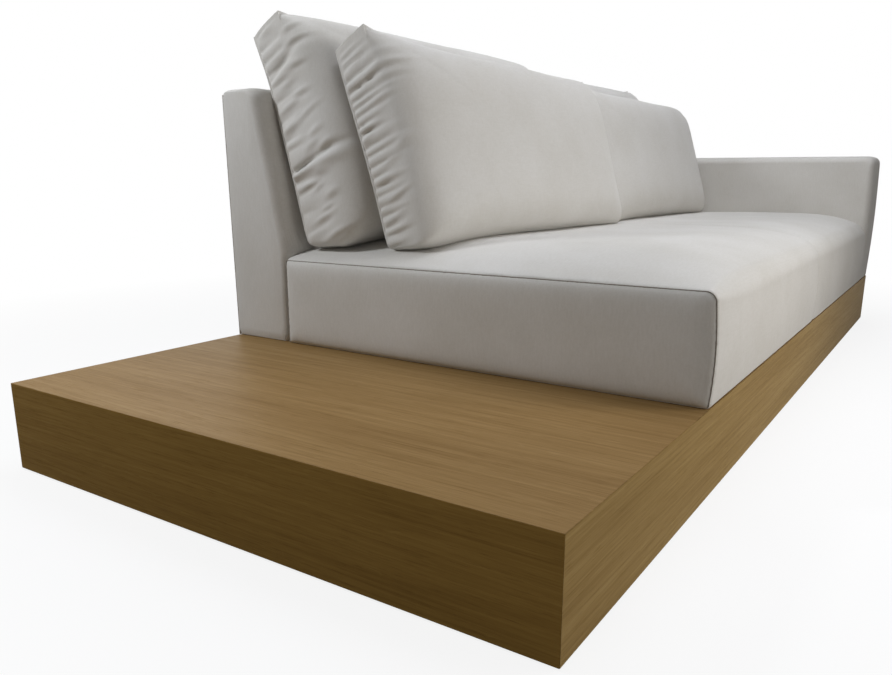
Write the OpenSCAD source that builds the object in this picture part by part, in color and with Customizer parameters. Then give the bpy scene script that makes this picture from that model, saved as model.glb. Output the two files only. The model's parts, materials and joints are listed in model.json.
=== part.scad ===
// A low sofa with one arm and four loose back cushions, on a long oak platform whose bare end is a table.
// X runs along it, from the table's end to the arm, Y from its front to its back and Z up from the floor.
// The origin is on the floor, under the middle of the platform. All sizes are in millimetres.

/* [Platform] */
// Length of the platform, from the table's end to the arm's end
platform_length = 2780; // [2500:10:3100]
// Depth of the platform, front to back
platform_depth = 1150; // [1100:10:1220]
// Height of the platform's boards
platform_height = 170; // [150:5:220]
// Thickness of the veneered boards
board = 25; // [18:1:30]
// Thickness of the ribs under the top
rib = 18; // [15:1:25]
// Length of the bare end that serves as a table
table_length = 560; // [450:10:700]
// Height of a floor glide
glide_height = 4; // [3:0.5:8]
// Diameter of a floor glide
glide_diameter = 30; // [24:1:40]
// Side of the square blocks that carry the glides
glide_block = 60; // [50:1:70]
// Height of those blocks
block_height = 45; // [30:1:60]
// Diameter of a glide's nail
nail_diameter = 3; // [2:0.1:4]
// Length of a glide's nail
nail_length = 16; // [10:1:25]

/* [Seat] */
// Height of the seat's sewn end seam above the platform
seat_edge_height = 202; // [185:1:230]
// Rise of the padded crown above that seam
seat_crown = 48; // [30:1:60]
// Length over which the crown rises from the table's end
crown_length = 270; // [200:10:350]
// Drop of the end seam from the front to the back
seat_fall = 7; // [0:1:12]
// How far the padded front swells past the platform
front_swell = 5; // [2:1:9]
// Radius of the seat's upper front edge
seat_edge_round = 20; // [12:1:28]
// Depth of the valley at the seat's middle seam
seam_valley = 4; // [2:0.5:7]
// Half the width of that valley
seam_reach = 36; // [25:1:50]
// Depth of the tuck where the seat meets the arm
arm_tuck = 10; // [5:1:16]

/* [Back] */
// Height of the back above the platform
back_height = 576; // [540:2:640]
// Depth of the back at its foot
back_foot = 174; // [160:1:190]
// Depth of the back along its top
back_top = 99; // [90:1:115]
// Height at which the front of the back begins to lean
back_knee = 218; // [205:1:235]
// Lean of the outside of the back at its top
back_lean = 8; // [0:1:12]
// Soft radius of the back's front edges
back_round = 30; // [20:1:36]

/* [Arm] */
// Width of the arm
arm_width = 213; // [180:1:260]
// Height of the arm above the platform
arm_height = 455; // [420:1:500]
// How far the arm stands out past the platform's end
arm_overhang = 6; // [2:1:10]
// Soft radius of the arm's edges
arm_round = 30; // [20:1:32]

/* [Back cushions] */
// Height of the rear cushions between their ears
rear_cushion_height = 520; // [490:1:540]
// Height of the front cushions between their ears
front_cushion_height = 455; // [430:1:480]
// Swell of the table-side rear cushion's front past its ears
table_cushion_swell = 116; // [100:1:124]
// Swell of the arm-side rear cushion's front past its ears
arm_cushion_swell = 99; // [85:1:104]
// Swell of a front cushion's front past its ears
front_cushion_swell = 80; // [65:1:95]
// Depth of a rear cushion's sides, from its ears to its back
rear_cushion_side = 92; // [80:1:100]
// Depth of a front cushion's sides
front_cushion_side = 76; // [60:1:84]
// Lean of the cushions, in degrees
cushion_lean = 17; // [15:0.5:18]
// Turn of the cushions' arm ends towards the front, in degrees
cushion_turn = 3.2; // [0:0.2:4]
// Gap between the front cushions and the rear ones
cushion_gap = 3.6; // [3.5:0.1:10]
// How far the cushions' corners would reach below the seat's crown
cushion_sink = 27; // [15:1:35]
// How far the corners of a cushion's back are tucked in
corner_tuck = 18; // [8:1:26]
// Rise of a cushion's tallest ear over its top edge
ear_rise = 35; // [20:1:40]
// How far a cushion's bottom edge is drawn in between its corners
bottom_draw = 20; // [10:1:28]
// How far a cushion's sides are drawn in between their corners
side_draw = 8; // [4:1:16]
// Radius of the edges round a cushion's back
back_edge_round = 9; // [6:1:14]
// Distance from the seat's end to the rear cushion
rear_cushion_inset = 34; // [30:1:70]
// Distance from the seat's end to the front cushion
front_cushion_inset = 61; // [50:1:100]
// Gap between a pair of neighbours
pair_gap = 6; // [4:1:10]
// Distance from the arm to the rear cushion
rear_arm_gap = 20; // [18:1:30]
// Distance from the arm to the front cushion
front_arm_gap = 27; // [15:1:40]

/* [Covers and frames] */
// Thickness of the covers of the seat, back and arm
cover = 3; // [2:0.5:4]
// Thickness of a cushion's quilted cover
cushion_cover = 4; // [3:0.5:5]
// Thickness of the frame's rails and posts
rail = 22; // [18:1:25]
// Height of the seat frame's rails
rail_height = 90; // [75:1:100]
// Foam between the seat frame and the cover
seat_wrap = 22; // [15:1:30]
// Foam over the front and the top of the back's frame
back_wrap = 28; // [20:1:34]
// Foam over the arm's frame
arm_wrap = 24; // [22:1:30]
// Thickness of the arm's side panels
arm_panel = 12; // [9:1:15]
// Soft radius of the back's upper rear edge
seam_round = 14; // [8:1:20]
// Thickness of the board behind the back
back_board = 3.2; // [3:0.2:6]
// Width of an elastic strap
strap_width = 60; // [50:1:70]
// Thickness of an elastic strap
strap = 1.8; // [1.2:0.1:2.5]
// Distance between the straps' centres
strap_pitch = 120; // [100:5:140]
// Side of the seat frame's corner blocks
corner_block = 50; // [40:1:60]
// How far those blocks stay below the rails' top
block_drop = 8; // [4:1:15]

/* [Fasteners] */
// Diameter of the bolts
bolt_diameter = 8; // [6:1:10]
// Clearance round a bolt, on its diameter
bolt_clearance = 0.5; // [0.3:0.1:1]
// Width across the flats of a bolt's head
bolt_head = 13; // [11:1:15]
// Height of a bolt's head
bolt_head_height = 5.3; // [4:0.1:7]
// How far a bolt stands past its nut
bolt_spare = 3; // [1:0.5:6]
// Diameter of a washer, and of a nut's flange
washer_diameter = 22; // [18:1:26]
// Thickness of a washer
washer = 2; // [1:0.1:3]
// Thickness of a nut's flange
nut_flange = 1.5; // [1:0.1:3]
// Depth of a nut's barrel
nut_barrel = 9; // [7:0.5:12]
// Wall of a nut's barrel
nut_wall = 1.2; // [0.8:0.1:2]
// Clearance in a nut and round its barrel, on the diameter
nut_clearance = 0.1; // [0.05:0.01:0.2]
// Length of a zip
zip_length = 480; // [300:10:520]
// Width of a zip's tapes
zip_width = 24; // [18:1:30]
// Width of a zip's coil
coil_width = 5; // [4:0.5:7]
// Height of a zip's coil over its tapes
coil_height = 0.6; // [0.4:0.1:0.8]
// Length of a zip's slider
slider_length = 9; // [7:0.5:12]
// Width of a zip's slider
slider_width = 12; // [9:0.5:14]
// Thickness of a zip's slider
slider_thickness = 2; // [1.5:0.1:2.2]
// Length of a slider's tab
tab_length = 20; // [12:1:26]
// Width of a slider's tab
tab_width = 5; // [4:0.5:7]
// Thickness of a slider's tab
tab_thickness = 1.2; // [0.8:0.1:1.5]

/* [Clearances] */
// Overrun of every cut
overrun = 5; // [3:1:10]
// Least gap between loose pieces and what they lie on
soft_gap = 0.4; // [0.3:0.05:0.6]

/* [Hidden] */

// Colours of the finishes
cloth_colour = [0.86, 0.84, 0.80];
oak_colour = [0.62, 0.49, 0.32];
ply_colour = [0.78, 0.66, 0.47];
foam_colour = [0.93, 0.88, 0.68];
strap_colour = [0.25, 0.25, 0.27];
steel_colour = [0.70, 0.71, 0.73];
glide_colour = [0.35, 0.33, 0.30];
fibre_colour = [0.96, 0.96, 0.94];

// Planes of the platform
left = -platform_length / 2;
right = platform_length / 2;
front = -platform_depth / 2;
rear = platform_depth / 2;
boards_bottom = glide_height;
deck = glide_height + platform_height;

// Planes of the seat, which the back and the arm enclose
seat_left = left + table_length;
seat_right = right - arm_width;
seat_length = seat_right - seat_left;
seat_rear = rear - back_foot;
seat_depth = seat_rear - front;
seat_seam = seat_left + seat_length / 2;
seat_edge = deck + seat_edge_height;
peak_share = 0.3;
rear_loss_share = 0.25;
swell_power = 3.2;

// Planes of the back and the arm
back_front_top = rear - back_top;
back_top_z = deck + back_height;
knee_z = deck + back_knee;
arm_outside = right + arm_overhang;
arm_top_z = deck + arm_height;

// Frames: the seat's stands against the arm's and the back's, with only their covers between
frame_left = seat_left + cover + seat_wrap;
frame_front = front + cover + seat_wrap;
frame_length = seat_right - frame_left;
frame_depth = seat_rear - frame_front;
rails_top = deck + rail_height;
straps_top = rails_top + 2 * strap;
bolt_z = deck + rail_height / 2;
back_frame_left = seat_left + cover + back_wrap;
back_frame_right = right - cover - back_wrap;
post_front = seat_rear + cover + rail;
rear_board_front = rear - cover - back_board;
post_rear = rear_board_front - soft_gap / 4;
post_top = back_top_z - cover - back_wrap - rail;
post_top_front = rake_y(post_top) + cover + back_wrap;
arm_frame_front = front + cover + arm_wrap;
arm_frame_top = arm_top_z - cover - arm_wrap - arm_panel;
arm_frame_inside = seat_right + cover;
arm_frame_outside = arm_outside - cover - arm_wrap;

// Fasteners
bolt_hole = bolt_diameter + bolt_clearance;
nut_barrel_diameter = bolt_diameter + 2 * nut_wall;
block_bolt_length = board + rail_height - block_drop;
rail_bolt_length = 2 * rail + cover;
arm_bolt_length = rail + cover + arm_panel;

// Places along the sofa and across it, as shares of the length or depth that they divide
rib_shares = [0.2, 0.4, 0.6, 0.8];
cross_rail_shares = [0.25, 0.5, 0.75];
end_bolt_shares = [0.125, 0.875];
arm_bolt_shares = [0.2, 0.42, 0.8];
back_strap_shares = [0.12, 0.37, 0.62, 0.87];
glide_shares = [0, 0.3, 0.5, 0.7, 1];
spacer_shares = [0, 0.5, 0.92];

// Cushions, each from its own values: its end nearer the table, its width, its height and the shares of it
// at its two ends, the shares of the ears' rise there, its swell, side depth, turn and its ears' foot
rear_split_share = 0.514;
front_split_share = 0.507;
height_shares = [[1, 0.985], [0.975, 0.98], [1, 0.985], [0.97, 0.96]];
ear_shares = [[0.75, 0.6], [0.4, 0.6], [1, 0.35], [0.4, 0.4]];
rear_run = seat_length - rear_cushion_inset - pair_gap - rear_arm_gap;
front_run = seat_length - front_cushion_inset - pair_gap - front_arm_gap;
foot_z = seat_edge + seat_crown - cushion_sink;
// The rear cushions' backs lean on the upper edge of the sofa's back, and the front cushions on the rear ones
support_z = back_top_z - back_round;
rear_foot = rake_y(support_z) - (support_z - foot_z) * tan(cushion_lean)
    - rear_cushion_side / cos(cushion_lean) - soft_gap + back_edge_round * sin(cushion_turn);
front_foot = rear_foot - (front_cushion_inset - rear_cushion_inset) * tan(cushion_turn)
    - (table_cushion_swell + front_cushion_side + cushion_gap) / cos(cushion_lean) / cos(cushion_turn);
CUSHIONS = [
    [seat_left + rear_cushion_inset, rear_run * rear_split_share, rear_cushion_height, height_shares[0],
        ear_shares[0], table_cushion_swell, rear_cushion_side, cushion_turn, rear_foot],
    [seat_right - rear_arm_gap - rear_run * (1 - rear_split_share), rear_run * (1 - rear_split_share),
        rear_cushion_height, height_shares[1], ear_shares[1], arm_cushion_swell, rear_cushion_side,
        cushion_turn, rear_foot],
    [seat_left + front_cushion_inset, front_run * front_split_share, front_cushion_height, height_shares[2],
        ear_shares[2], front_cushion_swell, front_cushion_side, cushion_turn, front_foot],
    [seat_right - front_arm_gap - front_run * (1 - front_split_share), front_run * (1 - front_split_share),
        front_cushion_height, height_shares[3], ear_shares[3], front_cushion_swell, front_cushion_side,
        cushion_turn / 2, front_foot]
];
START = 0;
WIDTH = 1;
HEIGHT = 2;
ENDS = 3;
EARS = 4;
SWELL = 5;
SIDE = 6;
TURN = 7;
FOOT = 8;

// A cushion's front rises from its ears as a full crown, and its side runs back from them to a flat back.
// Each side ring has its shares of the back's edge radius, of the side's depth and of the corner's tuck.
crown_power = 5;
ear_power = 6;
ear_fade = 8;
blunt_power = 1.3;
diagonal_share = 0.3;
side_tuck_share = 0.3;
front_ring_shares = [0.4, 0.66, 0.83, 0.93, 0.98];
side_ring_shares = [[0, 0.5, 0.4], [0.2, 0.88, 0.9], [1, 1, 1]];
zip_share = 0.17;
tape_share = 0.7;

// Shapes that the sub-parts share

// A closed skin over rings of equally many points, each end closed round its hub
module skin(rings, first_hub, last_hub) {
    count = len(rings[0]);
    points = [for (ring = rings) each ring];
    last = len(points) - count;
    walls = [
        for (r = [0 : len(rings) - 2], i = [0 : count - 1])
            let (a = r * count + i, b = r * count + (i + 1) % count)
                each [[a, b, b + count], [a, b + count, a + count]]
    ];
    first_end = [for (i = [0 : count - 1]) [len(points), (i + 1) % count, i]];
    last_end = [for (i = [0 : count - 1]) [len(points) + 1, last + i, last + (i + 1) % count]];
    polyhedron(concat(points, [first_hub, last_hub]), concat(walls, first_end, last_end));
}

// A skin whose end rings are flat
module block_skin(rings) {
    skin(rings, middle(rings[0]), middle(rings[len(rings) - 1]));
}

function middle(points) = [for (p = points) 1] * points / len(points);

// Five points round a soft corner
function bend(a, corner, b) =
    [for (t = [0 : 0.25 : 1]) (1 - t) * (1 - t) * a + 2 * t * (1 - t) * corner + t * t * b];

// A point at a distance from one point towards another
function towards(a, b, distance) = a + (b - a) * distance / norm(b - a);

// An outline of [y, z] points carried to a place along X, and the same outline as a bar along X
function at_x(x, outline) = [for (p = outline) [x, p[0], p[1]]];

module bar_along_x(x0, length, outline) {
    translate([x0, 0, 0])
        rotate([90, 0, 90])
            linear_extrude(length)
                polygon(outline);
}

module box(x0, y0, z0, size) {
    translate([x0, y0, z0])
        cube(size);
}

// The platform

// Bolts that rise through the platform's top into the seat frame's blocks, as [x, y]
function deck_bolts() = [
    for (x = block_columns(), y = [frame_front, seat_rear - 2 * rail - corner_block])
        [x, y + rail + corner_block / 2]
];

function block_columns() = [
    frame_left + rail + corner_block / 2,
    frame_left + frame_length * (cross_rail_shares[1] + cross_rail_shares[2]) / 2,
    seat_right - rail - corner_block / 2
];

module platform_top() {
    color(oak_colour)
        difference() {
            intersection() {
                bar_along_x(left, platform_length, [
                    [front, deck], [rear, deck], [rear - board, deck - board], [front + board, deck - board]
                ]);
                translate([0, rear, 0])
                    rotate([90, 0, 0])
                        linear_extrude(platform_depth)
                            polygon([
                                [left, deck], [left + board, deck - board],
                                [right - board, deck - board], [right, deck]
                            ]);
            }
            for (p = deck_bolts())
                translate([p[0], p[1], deck - board - overrun])
                    cylinder(h = board + 2 * overrun, d = bolt_hole, $fn = 48);
        }
}

// A board on edge, mitred to its neighbours and to the top, with its outside on Y = 0
module edge_board(length) {
    color(oak_colour)
        intersection() {
            bar_along_x(-length / 2, length, [
                [0, boards_bottom], [0, deck], [board, deck - board], [board, boards_bottom]
            ]);
            linear_extrude(deck)
                polygon([
                    [-length / 2, 0], [length / 2, 0],
                    [length / 2 - board, board], [board - length / 2, board]
                ]);
        }
}

module platform_front_board() {
    translate([0, front, 0])
        edge_board(platform_length);
}

module platform_back_board() {
    translate([0, rear, 0])
        rotate([0, 0, 180])
            edge_board(platform_length);
}

module platform_table_end_board() {
    translate([left, 0, 0])
        rotate([0, 0, -90])
            edge_board(platform_depth);
}

module platform_arm_end_board() {
    translate([right, 0, 0])
        rotate([0, 0, 90])
            edge_board(platform_depth);
}

rib_height = platform_height - board;
slot = rib + soft_gap;

function rib_x(i) = left + platform_length * rib_shares[i];

// The spine is slotted from above, and the ribs from below, where they cross
module platform_spine() {
    color(ply_colour)
        difference() {
            box(left + board, -rib / 2, boards_bottom, [platform_length - 2 * board, rib, rib_height]);
            for (i = [0 : len(rib_shares) - 1])
                box(rib_x(i) - slot / 2, -rib, boards_bottom + rib_height / 2, [slot, 2 * rib, rib_height]);
        }
}

module platform_rib(i) {
    color(ply_colour)
        difference() {
            box(rib_x(i) - rib / 2, front + board, boards_bottom,
                [rib, platform_depth - 2 * board, rib_height]);
            box(rib_x(i) - rib, -slot / 2, boards_bottom - rib_height / 2, [2 * rib, slot, rib_height]);
        }
}

first_block = left + board + glide_block / 2;
block_run = platform_length - 2 * board - glide_block;
glide_places = concat(
    [
        for (s = glide_shares, side = [-1, 1])
            [first_block + s * block_run, side * (rear - board - glide_block / 2)]
    ],
    [[0, 0]]
);

module glide_blocks() {
    color(ply_colour)
        difference() {
            for (p = glide_places)
                box(p[0] - glide_block / 2, p[1] - glide_block / 2, boards_bottom,
                    [glide_block, glide_block, block_height]);
            box(-glide_block, -rib / 2, boards_bottom - overrun,
                [2 * glide_block, rib, block_height + 2 * overrun]);
            for (p = glide_places)
                translate([p[0], p[1], boards_bottom - overrun])
                    cylinder(h = overrun + nail_length, d = nail_diameter, $fn = 48);
        }
}

module floor_glides() {
    chamfer = glide_height / 4;
    radius = glide_diameter / 2;
    color(glide_colour)
        for (p = glide_places)
            translate([p[0], p[1], 0])
                rotate_extrude($fn = 48)
                    polygon(concat(
                        [[0, 0], [radius - chamfer, 0], [radius, chamfer], [radius, glide_height]],
                        norm(p) == 0 ? [[0, glide_height]] : [
                            [nail_diameter / 2, glide_height],
                            [nail_diameter / 2, glide_height + nail_length],
                            [0, glide_height + nail_length]
                        ]
                    ));
}

// The seat

// How much of its crown the seat has reached, along the sofa and from front to back
function crown_along(x) = 1 - pow(1 - min(1, max(0, (x - seat_left) / crown_length)), 2);

function crown_across(y) =
    let (t = (y - front) / seat_depth)
        t < peak_share
            ? 1 - pow(1 - max(0, t) / peak_share, swell_power)
            : 1 - rear_loss_share * pow((t - peak_share) / (1 - peak_share), 2);

function valley(x) = seam_valley * max(0, 1 - abs(x - seat_seam) / seam_reach);

tuck_run = 2 * arm_round;

function tuck(x) = arm_tuck * pow(max(0, 1 - (seat_right - x) / tuck_run), 2);

// Height that the padding adds to the seat's edge at a place
function padding(x, y) = seat_crown * crown_along(x) * crown_across(y) - valley(x) - tuck(x);

function edge_height(y) = seat_edge - seat_fall * (y - front) / seat_depth;

function seat_top(x, y) = edge_height(y) + padding(x, y);

seat_top_shares = [0.06, 0.1, 0.15, 0.22, 0.3, 0.42, 0.56, 0.7, 0.85];
swell_shares = [0.25, 0.5, 0.75];

// The seat's outline at x, drawn in by the inset, with spare past its bottom and its rear
function seat_outline(x, inset, spare) =
    let (
        face = front + inset + valley(x),
        radius = seat_edge_round - inset,
        turn_z = seat_edge - seat_edge_round,
        bottom = deck - spare,
        back = seat_rear + spare
    )
        concat(
            [[face, bottom]],
            [for (s = swell_shares) [face - front_swell * sin(180 * s), deck + s * (turn_z - deck)]],
            [for (a = [0 : 30 : 90])
                let (y = face + radius * (1 - cos(a)))
                    [y, turn_z + radius * sin(a) + padding(x, y) * sin(a)]],
            [for (s = seat_top_shares)
                let (y = front + s * seat_depth)
                    [y, seat_top(x, y) - inset]],
            [[back, seat_top(x, seat_rear) - inset], [back, bottom]]
        );

seat_cover_left = seat_left + cover;
crown_shares = [0.09, 0.22, 0.4, 0.66, 1];
tuck_shares = [1, 0.5, 0.2];
seat_stations = concat(
    [seat_cover_left],
    [for (s = crown_shares) seat_left + s * crown_length],
    [for (k = [-1 : 1]) seat_seam + k * seam_reach],
    [for (s = tuck_shares) seat_right - s * tuck_run],
    [seat_right]
);

// The seat's body between its first and last station, which may be carried out past its ends
module seat_body(inset, spare) {
    last = len(seat_stations) - 1;
    block_skin([
        for (i = [0 : last])
            let (shift = i == 0 ? -spare : i == last ? spare : 0)
                at_x(seat_stations[i] + shift, seat_outline(seat_stations[i], inset, spare))
    ]);
}

module seat_cover() {
    color(cloth_colour)
        difference() {
            seat_body(0, 0);
            seat_body(cover, overrun);
        }
}

module seat_end_panel() {
    color(cloth_colour)
        bar_along_x(seat_left, cover, seat_outline(seat_left, 0, 0));
}

module seat_foam() {
    color(foam_colour)
        difference() {
            seat_body(cover, 0);
            box(frame_left, frame_front, deck - overrun,
                [frame_length + overrun, frame_depth + overrun, straps_top - deck + overrun]);
        }
}

module seat_front_rail() {
    color(ply_colour)
        box(frame_left, frame_front, deck, [frame_length, rail, rail_height]);
}

module seat_rear_rail() {
    color(ply_colour)
        difference() {
            box(frame_left, seat_rear - rail, deck, [frame_length, rail, rail_height]);
            back_bolt_holes();
        }
}

// An end or cross rail between the front rail and the rear rail
module between_rail(x) {
    color(ply_colour)
        box(x, frame_front + rail, deck, [rail, frame_depth - 2 * rail, rail_height]);
}

module seat_table_end_rail() {
    between_rail(frame_left);
}

module seat_arm_end_rail() {
    difference() {
        between_rail(seat_right - rail);
        arm_bolt_holes();
    }
}

function cross_rail_x(i) = frame_left + cross_rail_shares[i] * frame_length;

module seat_cross_rails() {
    for (i = [0 : len(cross_rail_shares) - 1])
        between_rail(cross_rail_x(i) - rail / 2);
}

module seat_corner_blocks() {
    color(ply_colour)
        difference() {
            for (p = deck_bolts())
                box(p[0] - corner_block / 2, p[1] - corner_block / 2, deck,
                    [corner_block, corner_block, rail_height - block_drop]);
            for (p = deck_bolts())
                translate([p[0], p[1], deck]) {
                    translate([0, 0, -overrun])
                        cylinder(h = rail_height, d = bolt_hole, $fn = 48);
                    translate([0, 0, rail_height - block_drop - nut_barrel])
                        cylinder(h = nut_barrel + overrun, d = nut_barrel_diameter + nut_clearance, $fn = 48);
                }
        }
}

// Places of straps that share a run evenly
function strap_places(run) =
    let (count = floor(run / strap_pitch))
        [for (i = [0 : count - 1]) (i + 0.5) * run / count - strap_width / 2];

module seat_straps_short() {
    color(strap_colour)
        for (x = strap_places(frame_length))
            box(frame_left + x, frame_front, rails_top, [strap_width, frame_depth, strap]);
}

module seat_straps_long() {
    color(strap_colour)
        for (y = strap_places(frame_depth))
            box(frame_left, frame_front + y, rails_top + strap, [frame_length, strap_width, strap]);
}

// The back

// The front of the back at a height, which is upright up to its knee
function rake_y(z) =
    let (upper = back_top_z - back_round / 2)
        seat_rear + (back_front_top - seat_rear) * max(0, z - knee_z) / (upper - knee_z);

// How far the outside of the back leans out at a height
function rear_lean(z) = back_lean * (z - deck) / (back_top_z - seam_round - deck);

// The back's outline, with its front and its top drawn in and spare past its bottom and its rear
function back_outline(inset, spare) =
    let (
        top = back_top_z - inset,
        foot = [seat_rear + inset, deck - spare],
        knee = [seat_rear + inset, knee_z],
        edge = [rake_y(top) + inset, top],
        heel = [rear - cover + spare, deck - spare],
        heel_top = [rear - cover + rear_lean(top) + spare, top]
    )
        concat(
            [foot, knee],
            bend(towards(edge, knee, back_round), edge, towards(edge, heel_top, back_round)),
            bend(towards(heel_top, edge, seam_round), heel_top, towards(heel_top, heel, seam_round)),
            [heel]
        );

// Steps that round off an end: how far along, and how far drawn in, as shares of the radius
round_shares = [[0, 0.72], [0.1, 0.42], [0.28, 0.2], [0.55, 0.07], [0.9, 0]];

module back_body(inset, spare) {
    first = seat_left + inset;
    last = right - inset;
    block_skin(concat(
        [for (s = round_shares)
            at_x(first + s[0] * back_round, back_outline(inset + s[1] * back_round, spare))],
        [for (k = [len(round_shares) - 1 : -1 : 0])
            let (s = round_shares[k] / 2)
                at_x(last - s[0] * back_round, back_outline(inset + s[1] * back_round, spare))]
    ));
}

module back_cover() {
    color(cloth_colour)
        difference() {
            back_body(0, 0);
            back_body(cover, overrun);
            back_bolt_holes();
        }
}

module back_outside_cover() {
    color(cloth_colour)
        bar_along_x(seat_left, right - seat_left, [
            [rear - cover, deck], [rear, deck],
            [rear + back_lean, back_top_z - seam_round], [rear - cover + back_lean, back_top_z - seam_round]
        ]);
}

rake = atan((post_top_front - post_front) / (post_top - knee_z));

// The space that the back's frame and its straps take, which the foam goes round
module back_envelope() {
    raked_strap = (strap + soft_gap / 4) / cos(rake);
    bar_along_x(back_frame_left, back_frame_right - back_frame_left, [
        [seat_rear - overrun, deck - overrun], [seat_rear - overrun, rails_top],
        [post_front - raked_strap, rails_top], [post_front - raked_strap, knee_z],
        [post_top_front - raked_strap, post_top], [post_top_front - raked_strap, post_top + rail],
        [rear + overrun + back_lean, post_top + rail], [rear + overrun + back_lean, deck - overrun]
    ]);
}

module back_foam() {
    color(foam_colour)
        difference() {
            back_body(cover, 0);
            back_envelope();
        }
}

function post_x(i) = back_frame_left + rail / 2 + i / 3 * (back_frame_right - back_frame_left - rail);

module back_post(i) {
    color(ply_colour)
        bar_along_x(post_x(i) - rail / 2, rail, [
            [post_front, deck], [post_front, knee_z], [post_top_front, post_top],
            [post_rear + rear_lean(post_top), post_top], [post_rear, deck]
        ]);
}

module back_foot_rail() {
    color(ply_colour)
        difference() {
            box(back_frame_left, seat_rear + cover, deck,
                [back_frame_right - back_frame_left, rail, rail_height]);
            back_bolt_holes();
        }
}

module back_top_rail() {
    color(ply_colour)
        bar_along_x(back_frame_left, back_frame_right - back_frame_left, [
            [post_top_front, post_top], [post_top_front, post_top + rail],
            [post_rear + rear_lean(post_top + rail), post_top + rail],
            [post_rear + rear_lean(post_top), post_top]
        ]);
}

module back_straps() {
    rake_length = norm([post_top_front - post_front, post_top - knee_z]);
    color(strap_colour)
        translate([back_frame_left, post_front, knee_z])
            rotate([-rake, 0, 0])
                for (s = back_strap_shares)
                    translate([0, -strap, s * rake_length - strap_width / 2])
                        cube([back_frame_right - back_frame_left, strap, strap_width]);
}

module back_rear_board() {
    color(ply_colour)
        bar_along_x(back_frame_left, back_frame_right - back_frame_left, [
            [rear_board_front, deck], [rear - cover, deck],
            [rear - cover + rear_lean(post_top + rail), post_top + rail],
            [rear_board_front + rear_lean(post_top + rail), post_top + rail]
        ]);
}

// Bolts that join the seat's rear rail to the back's foot rail, as places along X. Two stand halfway between
// a rail or a block of the seat and a post of the back.
function back_bolts() = [
    frame_left + end_bolt_shares[0] * frame_length,
    (cross_rail_x(1) + post_x(1)) / 2,
    (block_columns()[1] + post_x(2)) / 2,
    frame_left + end_bolt_shares[1] * frame_length
];

module back_bolt_holes() {
    for (x = back_bolts())
        translate([x, seat_rear - rail - overrun, bolt_z])
            rotate([-90, 0, 0])
                cylinder(h = 2 * rail + cover + 2 * overrun, d = bolt_hole, $fn = 48);
}

// The arm

function arm_outline(inset, rear_inset, spare) =
    let (
        top = arm_top_z - inset,
        face = front + inset,
        corner = [face, top],
        back = seat_rear - rear_inset + spare,
        back_corner = [rake_y(top) - rear_inset + spare, top]
    )
        concat(
            [[face, deck - spare]],
            [for (s = swell_shares) [face - front_swell * sin(180 * s), deck + s * (top - arm_round - deck)]],
            bend([face, top - arm_round], corner, [face + arm_round, top]),
            [back_corner, [back, knee_z], [back, deck - spare]]
        );

module arm_body(inset, spare) {
    first = seat_right + inset;
    last = arm_outside - inset;
    block_skin(concat(
        [for (s = round_shares)
            at_x(first + s[0] * arm_round, arm_outline(inset + s[1] * arm_round, 0, spare))],
        [for (k = [len(round_shares) - 1 : -1 : 0])
            let (s = round_shares[k])
                at_x(last - s[0] * arm_round, arm_outline(inset + s[1] * arm_round, 0, spare))]
    ));
}

module arm_cover() {
    color(cloth_colour)
        difference() {
            arm_body(0, 0);
            arm_body(cover, overrun);
            arm_bolt_holes();
        }
}

module arm_foam() {
    color(foam_colour)
        difference() {
            arm_body(cover, 0);
            bar_along_x(arm_frame_inside - overrun, arm_frame_outside - arm_frame_inside + overrun,
                arm_frame_outline(arm_panel, overrun));
        }
}

// The side outline of the arm's frame, up to its panels' top plus a rise, with spare past its bottom and rear
function arm_frame_outline(rise, spare) =
    let (top = arm_frame_top + rise)
        [
            [arm_frame_front, deck - spare], [arm_frame_front, top], [rake_y(top) + spare, top],
            [seat_rear + spare, knee_z], [seat_rear + spare, deck - spare]
        ];

module arm_inner_panel() {
    color(ply_colour)
        difference() {
            bar_along_x(arm_frame_inside, arm_panel, arm_frame_outline(0, 0));
            arm_bolt_holes();
        }
}

module arm_outer_panel() {
    color(ply_colour)
        bar_along_x(arm_frame_outside - arm_panel, arm_panel, arm_frame_outline(0, 0));
}

module arm_spacers() {
    run = seat_rear - arm_frame_front - rail;
    color(ply_colour)
        for (s = spacer_shares)
            box(arm_frame_inside + arm_panel, arm_frame_front + s * run, deck,
                [arm_frame_outside - arm_frame_inside - 2 * arm_panel, rail, arm_frame_top - deck]);
}

module arm_top_board() {
    board_front = arm_frame_front + arm_round / 3;
    color(ply_colour)
        box(arm_frame_inside, board_front, arm_frame_top,
            [arm_frame_outside - arm_frame_inside, rake_y(arm_frame_top) - board_front, arm_panel]);
}

function arm_bolts() = [for (s = arm_bolt_shares) frame_front + s * frame_depth];

module arm_bolt_holes() {
    for (y = arm_bolts())
        translate([seat_right - rail - overrun, y, bolt_z])
            rotate([0, 90, 0])
                cylinder(h = rail + cover + arm_panel + 2 * overrun, d = bolt_hole, $fn = 48);
}

// The fasteners

// A flanged bolt along +Z whose washer's face is on Z = 0
module bolt(length) {
    head_across_corners = bolt_head / cos(30);
    color(steel_colour) {
        translate([0, 0, -washer - bolt_head_height])
            cylinder(h = bolt_head_height, d = head_across_corners, $fn = 6);
        translate([0, 0, -washer])
            cylinder(h = washer, d = washer_diameter, $fn = 48);
        cylinder(h = length, d = bolt_diameter, $fn = 48);
    }
}

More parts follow.
